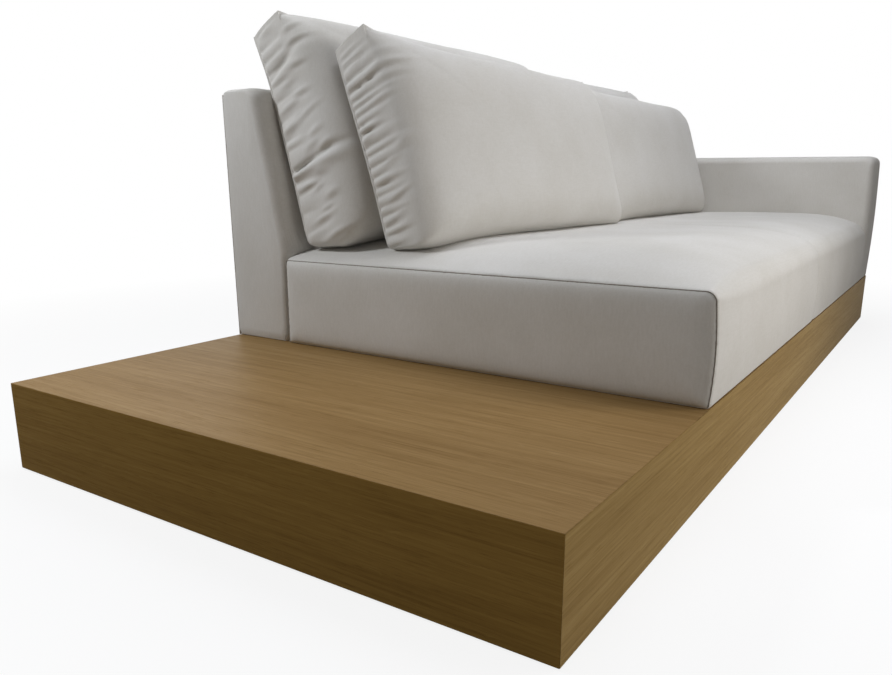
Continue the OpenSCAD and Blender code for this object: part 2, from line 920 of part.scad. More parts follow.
// A nut whose flange's face is on Z = 0, over a joint's far side, with its barrel down in the hole
module nut(barrel) {
    color(steel_colour)
        difference() {
            union() {
                cylinder(h = nut_flange, d = washer_diameter, $fn = 48);
                if (barrel)
                    translate([0, 0, -nut_barrel])
                        cylinder(h = nut_barrel, d = nut_barrel_diameter, $fn = 48);
            }
            translate([0, 0, -nut_barrel - overrun])
                cylinder(h = nut_barrel + nut_flange + 2 * overrun,
                    d = bolt_diameter + nut_clearance, $fn = 48);
        }
}

// Every bolt's seat: the point under its head, the way it points, its grip and whether its nut has a barrel
function bolt_seats() = concat(
    [for (p = deck_bolts()) [[p[0], p[1], deck - board], [0, 0, 0], block_bolt_length, true]],
    [for (x = back_bolts()) [[x, seat_rear - rail, bolt_z], [-90, 0, 0], rail_bolt_length, false]],
    [for (y = arm_bolts()) [[seat_right - rail, y, bolt_z], [0, 90, 0], arm_bolt_length, false]]
);

module frame_bolts() {
    for (s = bolt_seats())
        translate(s[0])
            rotate(s[1])
                bolt(s[2] + nut_flange + bolt_spare);
}

module frame_nuts() {
    for (s = bolt_seats())
        translate(s[0])
            rotate(s[1])
                translate([0, 0, s[2]])
                    nut(s[3]);
}

// The loose cushions

// Local axes of a cushion: u along it, v up its lean from its foot and w out of its front
module on_cushion(c) {
    translate([c[START] + c[WIDTH] / 2, turned_foot(c), foot_z])
        rotate([0, 0, -c[TURN]])
            rotate([90 - cushion_lean, 0, 0])
                children();
}

// A turned cushion keeps the place of the end that is nearer the table
function turned_foot(c) = c[FOOT] - c[WIDTH] / 2 * sin(c[TURN]);

function placed(c, p) =
    let (
        y = p[1] * sin(cushion_lean) - p[2] * cos(cushion_lean),
        z = p[1] * cos(cushion_lean) + p[2] * sin(cushion_lean)
    )
        [
            c[START] + c[WIDTH] / 2 + p[0] * cos(c[TURN]) + y * sin(c[TURN]),
            turned_foot(c) - p[0] * sin(c[TURN]) + y * cos(c[TURN]),
            foot_z + z
        ];

// What a cushion rests on, which bridges the seat's seam and clears its crown between a cushion's columns
function rest(c, x, y) =
    seat_top(x, y) + valley(x) + tuck(x) / 3 + soft_gap
        + (x < seat_left + crown_length ? seat_crown * pow(column_share * c[WIDTH] / crown_length, 2) : 0);

// A point that would reach into the seat is pushed up the lean until it rests on it
function settled(c, p, inset) =
    let (
        q = placed(c, p),
        over = rest(c, q[0], q[1]) + inset - q[2],
        lift = max(0, over) / cos(cushion_lean)
    )
        placed(c, [p[0], p[1] + lift, p[2]]);

// Points round the unit square's edge, close together towards its corners
edge_steps = 8;
column_share = 0.086;
square_edge = [
    for (side = [0 : 3], k = [0 : edge_steps - 1])
        let (s = sin(90 * (2 * k / edge_steps - 1)))
            side == 0 ? [s, -1] : side == 1 ? [1, s] : side == 2 ? [-s, 1] : [-1, -s]
];

function between(ends, t) = ends[0] + (ends[1] - ends[0]) * t;

// A ring of a cushion: its outline shrunk to a share, then drawn in by a distance and at its corners by a
// tuck, at a height w over its ears
function cushion_ring(c, share, w, drawn, tucked, inset) = [
    for (e = square_edge)
        let (
            diagonal = pow(e[0] * e[1], 2),
            rounding = 1 - diagonal_share * (1 - share) * diagonal,
            corner = tucked * diagonal * diagonal,
            across = 1 - pow(1 - share, blunt_power),
            half_width = c[WIDTH] / 2 - inset - drawn - side_draw * (1 - e[1] * e[1]),
            u = e[0] * (across * rounding * half_width - corner * side_tuck_share),
            t = u / c[WIDTH] + 1 / 2,
            half = c[HEIGHT] * between(c[ENDS], t) / 2,
            ear = ear_rise * between(c[EARS], t) * pow(e[0] * e[1], ear_power) * pow(share, ear_fade),
            extent = e[1] > 0
                ? share * rounding * (half - inset - drawn) + ear
                : share * rounding * (half - inset - drawn - bottom_draw * (1 - e[0] * e[0])),
            v = half + e[1] * (extent - corner)
        )
            settled(c, [u, v, w], inset)
];

function fullness(share) = sqrt(1 - pow(share, crown_power));

module cushion_body(c, inset, front_shares, side_steps) {
    swell = c[SWELL] - inset;
    side = c[SIDE] - inset;
    rings = concat(
        [for (s = front_shares) cushion_ring(c, s, swell * fullness(s), 0, 0, inset)],
        [cushion_ring(c, 1, 0, 0, 0, inset)],
        [
            for (r = side_steps)
                cushion_ring(c, 1, -side * r[1], r[0] * back_edge_round, r[2] * corner_tuck, inset)
        ]
    );
    skin(rings, placed(c, [0, c[HEIGHT] / 2, swell]), placed(c, [0, c[HEIGHT] / 2, -side]));
}

inner_front_shares = [0.5, 0.83, 0.93];
inner_side_shares = [side_ring_shares[1], side_ring_shares[2]];

module cushion_cover(c) {
    color(cloth_colour)
        difference() {
            cushion_body(c, 0, front_ring_shares, side_ring_shares);
            cushion_body(c, cushion_cover, inner_front_shares, inner_side_shares);
            on_cushion(c)
                translate([-zip_length / 2, zip_height(c) - zip_width / 2, -c[SIDE] - overrun])
                    cube([zip_length, zip_width, overrun + cushion_cover + soft_gap]);
        }
}

module cushion_filling(c) {
    color(fibre_colour)
        cushion_body(c, cushion_cover, inner_front_shares, inner_side_shares);
}

function zip_height(c) = c[HEIGHT] * zip_share;

// The zip fills a slot in the cover's flat back, with its coil a little proud
module cushion_zip(c) {
    tape = cushion_cover * tape_share;
    color(cloth_colour)
        on_cushion(c) {
            translate([-zip_length / 2, zip_height(c) - zip_width / 2, -c[SIDE]])
                cube([zip_length, zip_width, tape]);
            translate([-zip_length / 2, zip_height(c) - coil_width / 2, -c[SIDE] - coil_height])
                cube([zip_length, coil_width, coil_height + tape]);
        }
}

module zip_slider(c) {
    outer = -c[SIDE] - coil_height - soft_gap;
    color(steel_colour)
        on_cushion(c)
            translate([-zip_length / 2 + coil_width, zip_height(c), outer - slider_thickness]) {
                translate([0, -slider_width / 2, 0])
                    cube([slider_length, slider_width, slider_thickness]);
                translate([slider_length / 2 - tab_width / 2, -slider_width / 2 - tab_length, 0])
                    cube([tab_width, tab_length, tab_thickness]);
                translate([slider_length / 2, -slider_width / 2 - tab_length, 0])
                    cylinder(h = tab_thickness, d = tab_width, $fn = 32);
            }
}

platform_top();
platform_front_board();
platform_back_board();
platform_table_end_board();
platform_arm_end_board();
platform_spine();
platform_rib(0);  // platform_rib_1
platform_rib(1);  // platform_rib_2
platform_rib(2);  // platform_rib_3
platform_rib(3);  // platform_rib_4
glide_blocks();
floor_glides();
seat_front_rail();
seat_rear_rail();
seat_table_end_rail();
seat_arm_end_rail();
seat_cross_rails();
seat_corner_blocks();
seat_straps_short();
seat_straps_long();
seat_foam();
seat_cover();
seat_end_panel();
back_post(0);  // back_post_1
back_post(1);  // back_post_2
back_post(2);  // back_post_3
back_post(3);  // back_post_4
back_foot_rail();
back_top_rail();
back_straps();
back_rear_board();
back_foam();
back_cover();
back_outside_cover();
arm_inner_panel();
arm_outer_panel();
arm_spacers();
arm_top_board();
arm_foam();
arm_cover();
frame_bolts();
frame_nuts();
cushion_cover(CUSHIONS[0]);  // rear_left_cushion_cover
cushion_filling(CUSHIONS[0]);  // rear_left_cushion_filling
cushion_zip(CUSHIONS[0]);  // rear_left_zip
zip_slider(CUSHIONS[0]);  // rear_left_zip_slider
cushion_cover(CUSHIONS[1]);  // rear_right_cushion_cover
cushion_filling(CUSHIONS[1]);  // rear_right_cushion_filling
cushion_zip(CUSHIONS[1]);  // rear_right_zip
zip_slider(CUSHIONS[1]);  // rear_right_zip_slider
cushion_cover(CUSHIONS[2]);  // front_left_cushion_cover
cushion_filling(CUSHIONS[2]);  // front_left_cushion_filling
cushion_zip(CUSHIONS[2]);  // front_left_zip
zip_slider(CUSHIONS[2]);  // front_left_zip_slider
cushion_cover(CUSHIONS[3]);  // front_right_cushion_cover
cushion_filling(CUSHIONS[3]);  // front_right_cushion_filling
cushion_zip(CUSHIONS[3]);  // front_right_zip
zip_slider(CUSHIONS[3]);  // front_right_zip_slider
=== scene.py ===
import math
import json

import bmesh
import bpy
import numpy as np
from mathutils import Matrix, Vector


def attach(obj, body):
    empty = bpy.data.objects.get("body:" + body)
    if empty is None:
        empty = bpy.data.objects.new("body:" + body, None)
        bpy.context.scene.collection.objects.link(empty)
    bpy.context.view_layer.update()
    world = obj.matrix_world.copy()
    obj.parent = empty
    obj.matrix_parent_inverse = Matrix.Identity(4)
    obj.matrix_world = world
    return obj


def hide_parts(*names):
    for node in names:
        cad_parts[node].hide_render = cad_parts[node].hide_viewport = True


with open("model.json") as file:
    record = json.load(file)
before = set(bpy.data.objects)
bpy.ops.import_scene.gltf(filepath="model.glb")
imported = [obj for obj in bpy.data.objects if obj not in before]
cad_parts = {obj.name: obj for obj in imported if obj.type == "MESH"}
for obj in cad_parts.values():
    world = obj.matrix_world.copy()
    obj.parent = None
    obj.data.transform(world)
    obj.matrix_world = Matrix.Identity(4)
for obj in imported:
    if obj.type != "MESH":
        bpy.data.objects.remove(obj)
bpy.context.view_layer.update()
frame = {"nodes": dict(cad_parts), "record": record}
nodes = frame["nodes"]
MM = 0.001
SEED = 7
rng = np.random.default_rng(SEED)

# The platform, in millimetres as all sizes here
PLATFORM_LENGTH = 2780.0
PLATFORM_DEPTH = 1150.0
LEFT, RIGHT = -PLATFORM_LENGTH / 2, PLATFORM_LENGTH / 2
FRONT, REAR = -PLATFORM_DEPTH / 2, PLATFORM_DEPTH / 2
GLIDE = 4.0
DECK = GLIDE + 170.0
BOARD = 25.0
ARRIS = 0.9

# The seat: its end seam, the crown over it, and what the middle seam and the arm draw down
TABLE_LENGTH = 560.0
ARM_WIDTH = 213.0
SEAT_LEFT = LEFT + TABLE_LENGTH
SEAT_RIGHT = RIGHT - ARM_WIDTH
SEAT_SEAM = (SEAT_LEFT + SEAT_RIGHT) / 2
SEAT_DEPTH = 976.0
SEAT_REAR = FRONT + SEAT_DEPTH
SEAT_EDGE = DECK + 202.0
SEAT_CROWN = 48.0
CROWN_LENGTH = 270.0
CREST_SHARE = 0.3
SEAT_FALL = 7.0
FRONT_SWELL = 5.0
SEAT_ROUND = 20.0
EDGE_SOFTNESS = 14.0
SEAM_VALLEY = 4.0
SEAM_REACH = 36.0
CREASE_DEPTH = 3.2
CREASE_WIDTH = 3.6
ARM_TUCK = 10.0
TUCK_RUN = 60.0

# The back and the arm
BACK_TOP = 750.0
BACK_RAKE = 75.0
KNEE = 392.0
BACK_LEAN = 8.0
BACK_ROUND = 30.0
REAR_SEAM_ROUND = 14.0
COVER = 3.0
ARM_TOP = 629.0
ARM_OUTSIDE = RIGHT + 6.0
ARM_ROUND = 30.0
ARM_CROWN = 1.5
CAP_DEPTH = 22.0
BACK_CAP = 42.0
ARM_CAP = 30.0

# The loose cushions
LEAN = math.radians(17)
CUSHION_TURN = 3.2
FOOT_Z = SEAT_EDGE + SEAT_CROWN - 27.0
REAR_INSET, FRONT_INSET = 34.0, 61.0
REAR_HEIGHT, FRONT_HEIGHT = 520.0, 455.0
REAR_SIDE, FRONT_SIDE = 92.0, 76.0
TABLE_SWELL, ARM_SWELL, LOW_SWELL = 116.0, 99.0, 80.0
CUSHION_GAP = 3.6
SOFT_GAP = 0.4
EAR_RISE = 31.0
SIDE_DRAW = 8.0
BOTTOM_DRAW = 20.0
CORNER_TUCK = 18.0
EDGE_ROUND = 9.0
HANG_REACH = 110.0

# The outline's power at a corner: square, or rounded as the lower corners are
SQUARE_CORNER = 400
LOW_CORNER = 16.0

# The zips, and how far up a cushion's back they lie
ZIP_LENGTH = 480.0
ZIP_WIDTH = 24.0
ZIP_SHARE = 0.17
TOOTH_PITCH = 2.6
STITCH_PITCH = 4.2


# Materials: sockets with sums written as Python's own, and one method for every node

class Link:
    """An output socket of a tree of nodes, on which sums add Math nodes."""

    def __init__(self, finish, socket):
        self.finish = finish
        self.socket = socket

    def math(self, operation, *others, first=None):
        """One Math node of this socket and others, or of a first value and this socket."""
        values = [self, *others] if first is None else [first, self]
        return self.finish.node("ShaderNodeMath", {"operation": operation}, dict(enumerate(values)))

    def __add__(self, other):
        return self.math("ADD", other)

    def __mul__(self, other):
        return self.math("MULTIPLY", other)

    def __sub__(self, other):
        return self.math("SUBTRACT", other)

    def __rsub__(self, other):
        return self.math("SUBTRACT", first=other)

    __radd__ = __add__
    __rmul__ = __mul__


class Finish:
    """A tree of nodes, of a material or of the world."""

    def __init__(self, name, owner=None):
        self.owner = owner or bpy.data.materials.new(name)
        self.owner.use_nodes = True
        self.tree = self.owner.node_tree
        self.tree.nodes.clear()

    def node(self, kind, settings=None, sockets=None, output=0):
        """Any node: its type, its settings, and the values or links of its sockets."""
        made = self.tree.nodes.new(kind)
        for key, value in (settings or {}).items():
            if key == "stops":
                ramp = made.color_ramp.elements
                while len(ramp) < len(value):
                    ramp.new(0.5)
                for stop, (place, colour) in zip(ramp, value):
                    stop.position = place
                    stop.color = colour
            else:
                setattr(made, key, value)
        for key, value in (sockets or {}).items():
            if isinstance(value, Link):
                self.tree.links.new(value.socket, made.inputs[key])
            else:
                made.inputs[key].default_value = value
        return Link(self, made.outputs[output]) if made.outputs else None

    def place(self, scale):
        """Places on the piece in its own axes, each times its scale."""
        coordinates = self.node("ShaderNodeTexCoord", output="Object")
        return self.node("ShaderNodeMapping", None, {"Vector": coordinates, "Scale": scale})

    def noise(self, scale, detail, roughness, stretch=(1, 1, 1), warp=0.0):
        return self.node("ShaderNodeTexNoise", None, {
            "Vector": self.place(stretch), "Scale": scale, "Detail": detail,
            "Roughness": roughness, "Distortion": warp})

    def mix(self, share, first, second):
        return self.node("ShaderNodeMix", {"data_type": "RGBA"}, {
            0: share, 6: first, 7: second}, output=2)

    def ramp(self, value, stops):
        return self.node("ShaderNodeValToRGB", {"stops": stops}, {"Fac": value})

    def band(self, value, low, high):
        """A value carried from between low and high to between 0 and 1."""
        return self.node("ShaderNodeMapRange", None, {
            "Value": value, "From Min": low, "From Max": high})

    def bump(self, height, distance, strength=1.0):
        return self.node("ShaderNodeBump", None, {
            "Height": height, "Distance": distance, "Strength": strength})

    def waves(self, pitch, axes):
        """A sine wave along each of the piece's first axes."""
        place = self.place((2 * math.pi / pitch,) * 3)
        return [self.node("ShaderNodeSeparateXYZ", None, {"Vector": place}, output=k).math("SINE")
                for k in range(axes)]

    def surface(self, **sockets):
        """The finished material; a socket's name is written with underscores."""
        named = {key.replace("_", " "): value for key, value in sockets.items()}
        shader = self.node("ShaderNodeBsdfPrincipled", None, named)
        self.node("ShaderNodeOutputMaterial", None, {"Surface": shader})
        return self.owner


def rgb(red, green, blue):
    """A colour given as it shows on a screen, from 0 to 255, as linear light."""
    return (*[((v / 255 + 0.055) / 1.055) ** 2.4 if v > 10 else v / 3300 for v in (red, green, blue)], 1)


THREAD = 0.0016
WEAVE_DEPTH = 0.0003


def cloth(name, light, dark):
    """A plain woven cloth, whose threads cross whichever way the surface faces."""
    f = Finish(name)
    x, y, z = f.waves(THREAD, 3)
    weave = (x * y + y * z + z * x) * 0.33 + 0.5
    slub_along = f.noise(260, 3, 0.6, (0.18, 1, 1))
    slub_up = f.noise(260, 3, 0.6, (1, 1, 0.18))
    slubs = (slub_along + slub_up) * 0.5
    patches = f.noise(4.5, 3, 0.55)
    shade = f.band(slubs * 0.45 + patches * 0.45 + weave * 0.1, 0.34, 0.66)
    colour = f.mix(shade, dark, light)
    fuzz = f.band(slubs, 0.3, 0.7) * 0.08 + 0.86
    relief = f.bump(weave * 0.5 + slubs * 0.7, WEAVE_DEPTH, 0.45)
    return f.surface(Base_Color=colour, Roughness=fuzz, Normal=relief,
                     Specular_IOR_Level=0.2, Sheen_Weight=0.1, Sheen_Roughness=0.5)


OAK_SHINE = 0.03


def oak(name, along, rough, tint=(1, 1, 1)):
    """Satin oak veneer whose fine straight grain runs along the X or the Y axis."""
    f = Finish(name)

    def stretch(share):
        """The scale that draws a pattern out along the grain."""
        return tuple(share if axis == along else 1 for axis in "xyz")

    drift = f.noise(1.3, 2, 0.5, stretch(0.5))
    leaves = f.noise(9, 3, 0.55, stretch(0.06), 0.25)
    figure = f.noise(55, 4, 0.6, stretch(0.03), 0.5)
    grain = f.noise(210, 4, 0.65, stretch(0.02), 0.2)
    fine = f.noise(560, 3, 0.6, stretch(0.02))
    pores = f.band(f.noise(760, 2, 0.5, stretch(0.03)), 0.60, 0.70)
    flecks = f.band(f.noise(120, 2, 0.5, stretch(0.16), 0.6), 0.66, 0.76)
    value = f.band(grain * 0.28 + figure * 0.18 + fine * 0.18 + leaves * 0.22 + drift * 0.14, 0.34, 0.66)

    def tinted(*shade):
        return rgb(*[v * share for v, share in zip(shade, tint)])

    colour = f.ramp(value, [
        (0.0, tinted(120, 92, 54)), (0.5, tinted(146, 117, 75)), (1.0, tinted(167, 138, 95))])
    colour = f.mix(pores * 0.35, colour, tinted(100, 74, 41))
    colour = f.mix(flecks * 0.25, colour, tinted(172, 144, 100))
    gloss = value * -0.08 + rough + pores * 0.14
    relief = f.bump(value * 0.5 + fine * 0.3 - pores, 0.00012, 0.6)
    return f.surface(Base_Color=colour, Roughness=gloss, Normal=relief, Specular_IOR_Level=OAK_SHINE)


def plywood():
    """Birch plywood, with a faint grain and its plies at the edges."""
    f = Finish("plywood")
    grain = f.noise(60, 4, 0.6, (0.06, 1, 1), 0.4)
    plies = f.noise(420, 1, 0.4, (0.02, 0.02, 1))
    value = f.band(grain * 0.7 + plies * 0.3, 0.35, 0.65)
    colour = f.ramp(value, [(0, rgb(176, 148, 108)), (0.5, rgb(201, 175, 133)), (1, rgb(216, 194, 154))])
    return f.surface(Base_Color=colour, Roughness=value * 0.1 + 0.6, Normal=f.bump(value, 0.0002, 0.5),
                     Specular_IOR_Level=0.3)


def granular(name, light, dark, scale, depth, rough, **more):
    """A cast, foamed or felted stuff, speckled at one scale and dented at another."""
    f = Finish(name)
    speckle = f.noise(scale, 3, 0.6)
    dents = f.noise(scale / 9, 2, 0.5)
    value = f.band(speckle * 0.7 + dents * 0.3, 0.35, 0.65)
    return f.surface(Base_Color=f.mix(value, dark, light), Roughness=value * 0.1 + rough,
                     Normal=f.bump(value, depth, 0.7), **more)


def ribbed(name, light, dark, pitch, depth):
    """A narrow woven band, ribbed across its length."""
    f = Finish(name)
    x, y = f.waves(pitch, 2)
    ribs = (x + y) * 0.25 + 0.5
    fluff = f.noise(500, 2, 0.5)
    value = ribs * 0.6 + fluff * 0.4
    return f.surface(Base_Color=f.mix(value, dark, light), Roughness=fluff * 0.1 + 0.75,
                     Normal=f.bump(value, depth, 0.8), Specular_IOR_Level=0.25)


def plated(name, tint, rough):
    """Plated steel with fine brushed lines and a little bloom."""
    f = Finish(name)
    lines = f.noise(900, 3, 0.6, (0.1, 1, 1))
    bloom = f.noise(60, 2, 0.5)
    value = lines * 0.5 + bloom * 0.5
    return f.surface(Base_Color=f.mix(value, tint, rgb(225, 226, 228)), Metallic=1.0,
                     Roughness=value * 0.2 + rough, Normal=f.bump(lines, 0.00005, 0.4))


FINISHES = {
    "cloth": cloth("cloth", rgb(217, 214, 209), rgb(201, 197, 189)),
    "cushion_cloth": cloth("cushion_cloth", rgb(218, 215, 210), rgb(204, 200, 192)),
    # The seam thread is darker than the cloth: real stitching, coloured darker as painted shade for the
    # grooves the seams sink into
    "seam_thread": granular("seam_thread", rgb(158, 151, 140), rgb(126, 119, 108), 800, 0.0001, 0.85),
    "oak": oak("oak_top", "y", 0.5),
    # The end boards' copy of the oak is tinted darker and warmer than the top: painted warm shade, as on
    # the table's shaded end face
    "oak_end": oak("oak_end", "y", 0.6, (1, 0.97, 0.77)),
    "oak_long": oak("oak_long", "x", 0.6, (1, 1.02, 0.95)),
    "plywood": plywood(),
    "foam": granular("foam", rgb(236, 225, 178), rgb(218, 203, 150), 900, 0.0004, 0.85),
    "fibre": granular("fibre", rgb(246, 246, 243), rgb(228, 228, 224), 300, 0.0008, 0.9),
    "strap": ribbed("strap", rgb(70, 70, 76), rgb(38, 38, 42), 0.003, 0.0003),
    "zip_tape": ribbed("zip_tape", rgb(206, 202, 196), rgb(180, 176, 168), 0.0012, 0.0001),
    "zip_metal": plated("zip_metal", rgb(176, 178, 182), 0.2),
    "steel": plated("steel", rgb(165, 168, 172), 0.25),
    "glide": granular("glide", rgb(98, 92, 84), rgb(74, 69, 62), 700, 0.0001, 0.5),
}
for part in frame["record"]["subparts"]:
    kept = nodes[part["node"]].data
    kept.materials.clear()
    kept.materials.append(FINISHES[part["material_slot"]])


# Meshes

MERGE = 1e-6
# The least turn, in degrees, that shows as a crease in a cover, and how tightly the covers are filled
COVER_CREASE = 60
TRIM_CREASE = 50
COVER_FILL = 0.9
CUSHION_FILL = 0.85


def linked(name, data):
    """A new object in the scene."""
    thing = bpy.data.objects.new(name, data)
    bpy.context.scene.collection.objects.link(thing)
    return thing


def solid(name, points, faces, finish, sharp):
    """A mesh object from points in millimetres, creased where it turns by more than sharp degrees."""
    mesh = bpy.data.meshes.new(name)
    metres = np.asarray(points, float) * MM
    mesh.from_pydata([tuple(point) for point in metres], [], [tuple(map(int, face)) for face in faces])
    made = bmesh.new()
    made.from_mesh(mesh)
    bmesh.ops.remove_doubles(made, verts=made.verts, dist=MERGE)
    bmesh.ops.recalc_face_normals(made, faces=made.faces)
    made.to_mesh(mesh)
    made.free()
    mesh.shade_smooth()
    mesh.set_sharp_from_angle(angle=math.radians(sharp))
    mesh.materials.append(finish)
    return linked(name, mesh)


def finish_piece(piece, body, slot, *replaced, fill=None):
    """Attaches a piece to its body and hides the nodes that it stands for; its slot and how full it is are
    not used.
    """
    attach(piece, body)
    if replaced:
        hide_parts(*replaced)


def cover(name, skin, *replaced, sharp=COVER_CREASE):
    """One of the sofa's own covers, over its padding."""
    piece = solid(name, *skin, FINISHES["cloth"], sharp)
    finish_piece(piece, "sofa", "cloth", *replaced, fill=COVER_FILL)


def at_x(x, line):
    """A line of depths and heights as points at x."""
    return np.c_[np.full(len(line), x), line]


def loft_faces(ring_count, count):
    """Quads between closed rings of equally many points."""
    return [
        (r * count + i, r * count + (i + 1) % count, (r + 1) * count + (i + 1) % count, (r + 1) * count + i)
        for r in range(ring_count - 1) for i in range(count)]


# The insets of the fan that closes a loft's end
FAN_SHARES = (0.97, 0.7, 0.3)


def loft(rings):
    """Points and faces of a closed skin over rings, with an inset fan at each end."""
    rings = [np.asarray(r, float) for r in rings]
    count = len(rings[0])
    for end in (0, -1):
        ring = rings[end]
        hub = ring.mean(0)
        for share in FAN_SHARES:
            inner = hub + (ring - hub) * share
            rings = [inner, *rings] if end == 0 else [*rings, inner]
    points = np.concatenate([*rings, [rings[0].mean(0)], [rings[-1].mean(0)]])
    faces = loft_faces(len(rings), count)
    first, last = len(points) - 2, len(points) - 1
    start = (len(rings) - 1) * count
    faces += [(first, (i + 1) % count, i) for i in range(count)]
    faces += [(last, start + i, start + (i + 1) % count) for i in range(count)]
    return points, faces


def grid_faces(columns, rows, start=0):
    """Quads of a grid of points that are listed row by row."""
    return [(i, i + 1, i + columns + 1, i + columns) for r in range(rows - 1)
            for i in range(start + r * columns, start + (r + 1) * columns - 1)]


def grid_rim(columns, rows):
    """The places of a grid's outermost points, once round."""
    grid = columns * rows
    return [*range(columns), *range(2 * columns - 1, grid, columns),
            *range(grid - 2, grid - columns - 1, -1), *range(grid - 2 * columns, 0, -columns)]


def resample(line, step):
    """A line of points, spaced evenly."""
    line = np.asarray(line, float)
    lengths = np.r_[0, np.cumsum(np.linalg.norm(np.diff(line, axis=0), axis=1))]
    count = max(2, int(round(lengths[-1] / step)) + 1)
    at = np.linspace(0, lengths[-1], count)
    return np.stack([np.interp(at, lengths, line[:, k]) for k in range(line.shape[1])], 1)


def tube(path, radius, sides=6):
    """Points and faces of a thin round thread along a path that lies across the X axis."""
    path = np.asarray(path, float)
    ahead = np.gradient(path, axis=0)
    ahead /= np.linalg.norm(ahead, axis=1)[:, None]
    aside = np.cross(ahead, (1.0, 0.0, 0.0))
    turns = np.arange(sides) * 2 * math.pi / sides
    return loft([p + radius * (np.outer(np.cos(turns), (1.0, 0.0, 0.0)) + np.outer(np.sin(turns), n))
                 for p, n in zip(path, aside)])


# The platform's boards, mitred, with a fine arris

BOARD_FACES = [(0, 1, 2, 3), (7, 6, 5, 4), (0, 4, 5, 1), (1, 5, 6, 2), (2, 6, 7, 3), (3, 7, 4, 0)]
BOARD_CREASE = 20


def mitred_board(name, outer, inner, finish, node):
    """A board between an outer and an inner rectangle, with its edges eased."""
    piece = solid(name, [*outer, *inner], BOARD_FACES, finish, BOARD_CREASE)
    ease = piece.modifiers.new("arris", "BEVEL")
    ease.width = ARRIS * MM
    ease.segments = 3
    ease.limit_method = "ANGLE"
    ease.angle_limit = math.radians(BOARD_CREASE)
    finish_piece(piece, "sofa", "oak", node)


def corners(inset):
    """The platform's corners in plan, from the table's front one on."""
    return [(LEFT + inset, FRONT + inset), (RIGHT - inset, FRONT + inset),
            (RIGHT - inset, REAR - inset), (LEFT + inset, REAR - inset)]


outer_corners, inner_corners = corners(0), corners(BOARD)
mitred_board("table_top_board", [(*place, DECK) for place in outer_corners],
             [(*place, DECK - BOARD) for place in inner_corners], FINISHES["oak"], "platform_top")
for name, node, corner, finish in (
        ("front_board", "platform_front_board", 0, "oak_long"),
        ("rear_board", "platform_back_board", 2, "oak_long"),
        ("table_end_board", "platform_table_end_board", 3, "oak_end"),
        ("arm_end_board", "platform_arm_end_board", 1, "oak_end")):
    a, b, a_in, b_in = (ring[(corner + step) % 4]
                        for ring in (outer_corners, inner_corners) for step in (0, 1))
    mitred_board(name, [(*a, GLIDE), (*b, GLIDE), (*b, DECK), (*a, DECK)],
                 [(*a_in, GLIDE), (*b_in, GLIDE), (*b_in, DECK - BOARD), (*a_in, DECK - BOARD)],
                 FINISHES[finish], node)


# The seat

def crown_along(x):
    """The share of the crown that has risen at x, from the table's end on."""
    return 1 - (1 - np.clip((x - SEAT_LEFT) / CROWN_LENGTH, 0, 1)) ** 2


def crown_across(y):
    """The share of the crown at y: full at its crest, and a quarter less at the back."""
    t = np.clip((y - FRONT) / SEAT_DEPTH, 0, 1)
    rising = 1 - (1 - np.minimum(t, CREST_SHARE) / CREST_SHARE) ** 3.2
    falling = 1 - 0.25 * ((t - CREST_SHARE) / (1 - CREST_SHARE)) ** 2
    return np.where(t < CREST_SHARE, rising, falling)


def valley(x):
    """How far the middle seam draws the cover in: a soft valley with a crease at its bottom."""
    away = np.abs(x - SEAT_SEAM)
    soft = SEAM_VALLEY * np.clip(1 - away / SEAM_REACH, 0, 1) ** 1.6
    return soft + CREASE_DEPTH * np.exp(-(away / CREASE_WIDTH) ** 2)


def tuck(x):
    """How far the seat goes down beside the arm."""
    return ARM_TUCK * np.clip(1 - (SEAT_RIGHT - x) / TUCK_RUN, 0, 1) ** 2


def padding(x, y):
    return SEAT_CROWN * crown_along(x) * crown_across(y) - valley(x) - tuck(x)


def seat_top(x, y):
    """The height of the seat's top."""
    return SEAT_EDGE - SEAT_FALL * (y - FRONT) / SEAT_DEPTH + padding(x, y)


def pucker(along, away, pitch, depth, reach):
    """The little gathers that a seam's stitches draw, fading away from it."""
    wave = np.sin(along * 2 * math.pi / pitch + 2.1 * np.sin(along / (pitch * 3.7)))
    swing = 0.6 + 0.4 * np.sin(along / (pitch * 5.3) + 1.7)
    return depth * wave * swing * np.exp(-(away / reach) ** 2)


# The pitch, depth and reach of the little gathers along each seam, and how uneven the covers are
END_PUCKER, MIDDLE_PUCKER, PANEL_PUCKER = (17, 0.8, 16), (23, 0.7, 18), (21, 0.6, 12)
SEAT_UNEVENNESS = 0.9
BACK_UNEVENNESS = 1.1
CUSHION_UNEVENNESS = 1.6
# A cover's hem on the platform: how far each step lies behind the face and over the platform
HEM = [(5.0, 1.2), (2.2, 1.8), (0.6, 3.6)]
HEM_Z = DECK + 1.2
FINE_END = FRONT + 275


def front_rise(face, top, first, steps):
    """A cover's front, from its hem up over a slight swell."""
    line = [(face + behind, DECK + over) for behind, over in HEM]
    return line + [(face - FRONT_SWELL * math.sin(math.pi * s), DECK + s * (top - DECK))
                   for s in np.linspace(first, 1, steps)]


def seat_line(x, inset):
    """The seat's outline at x: up its front, round its edge and back over its top."""
    face = FRONT + inset + valley(x)
    edge = SEAT_ROUND + EDGE_SOFTNESS * crown_along(x)
    turn_z = SEAT_EDGE - edge
    radius = edge - inset
    line = front_rise(face, turn_z, 0.03, 22)
    for angle in np.radians(np.linspace(0, 90, 12)[1:]):
        s = math.sin(angle)
        y = face + radius * (1 - math.cos(angle))
        line.append((y, turn_z + radius * s + padding(x, y) * s))
    for start, end, count in ((face + radius + 6, FINE_END, 26), (FINE_END + 12, SEAT_REAR - 3, 46)):
        line += [(y, seat_top(x, y) - inset) for y in np.linspace(start, end, count)]
    line += [(SEAT_REAR - 1, seat_top(x, SEAT_REAR) - inset - 3), (SEAT_REAR - 1, HEM_Z)]
    return np.array(line, float)


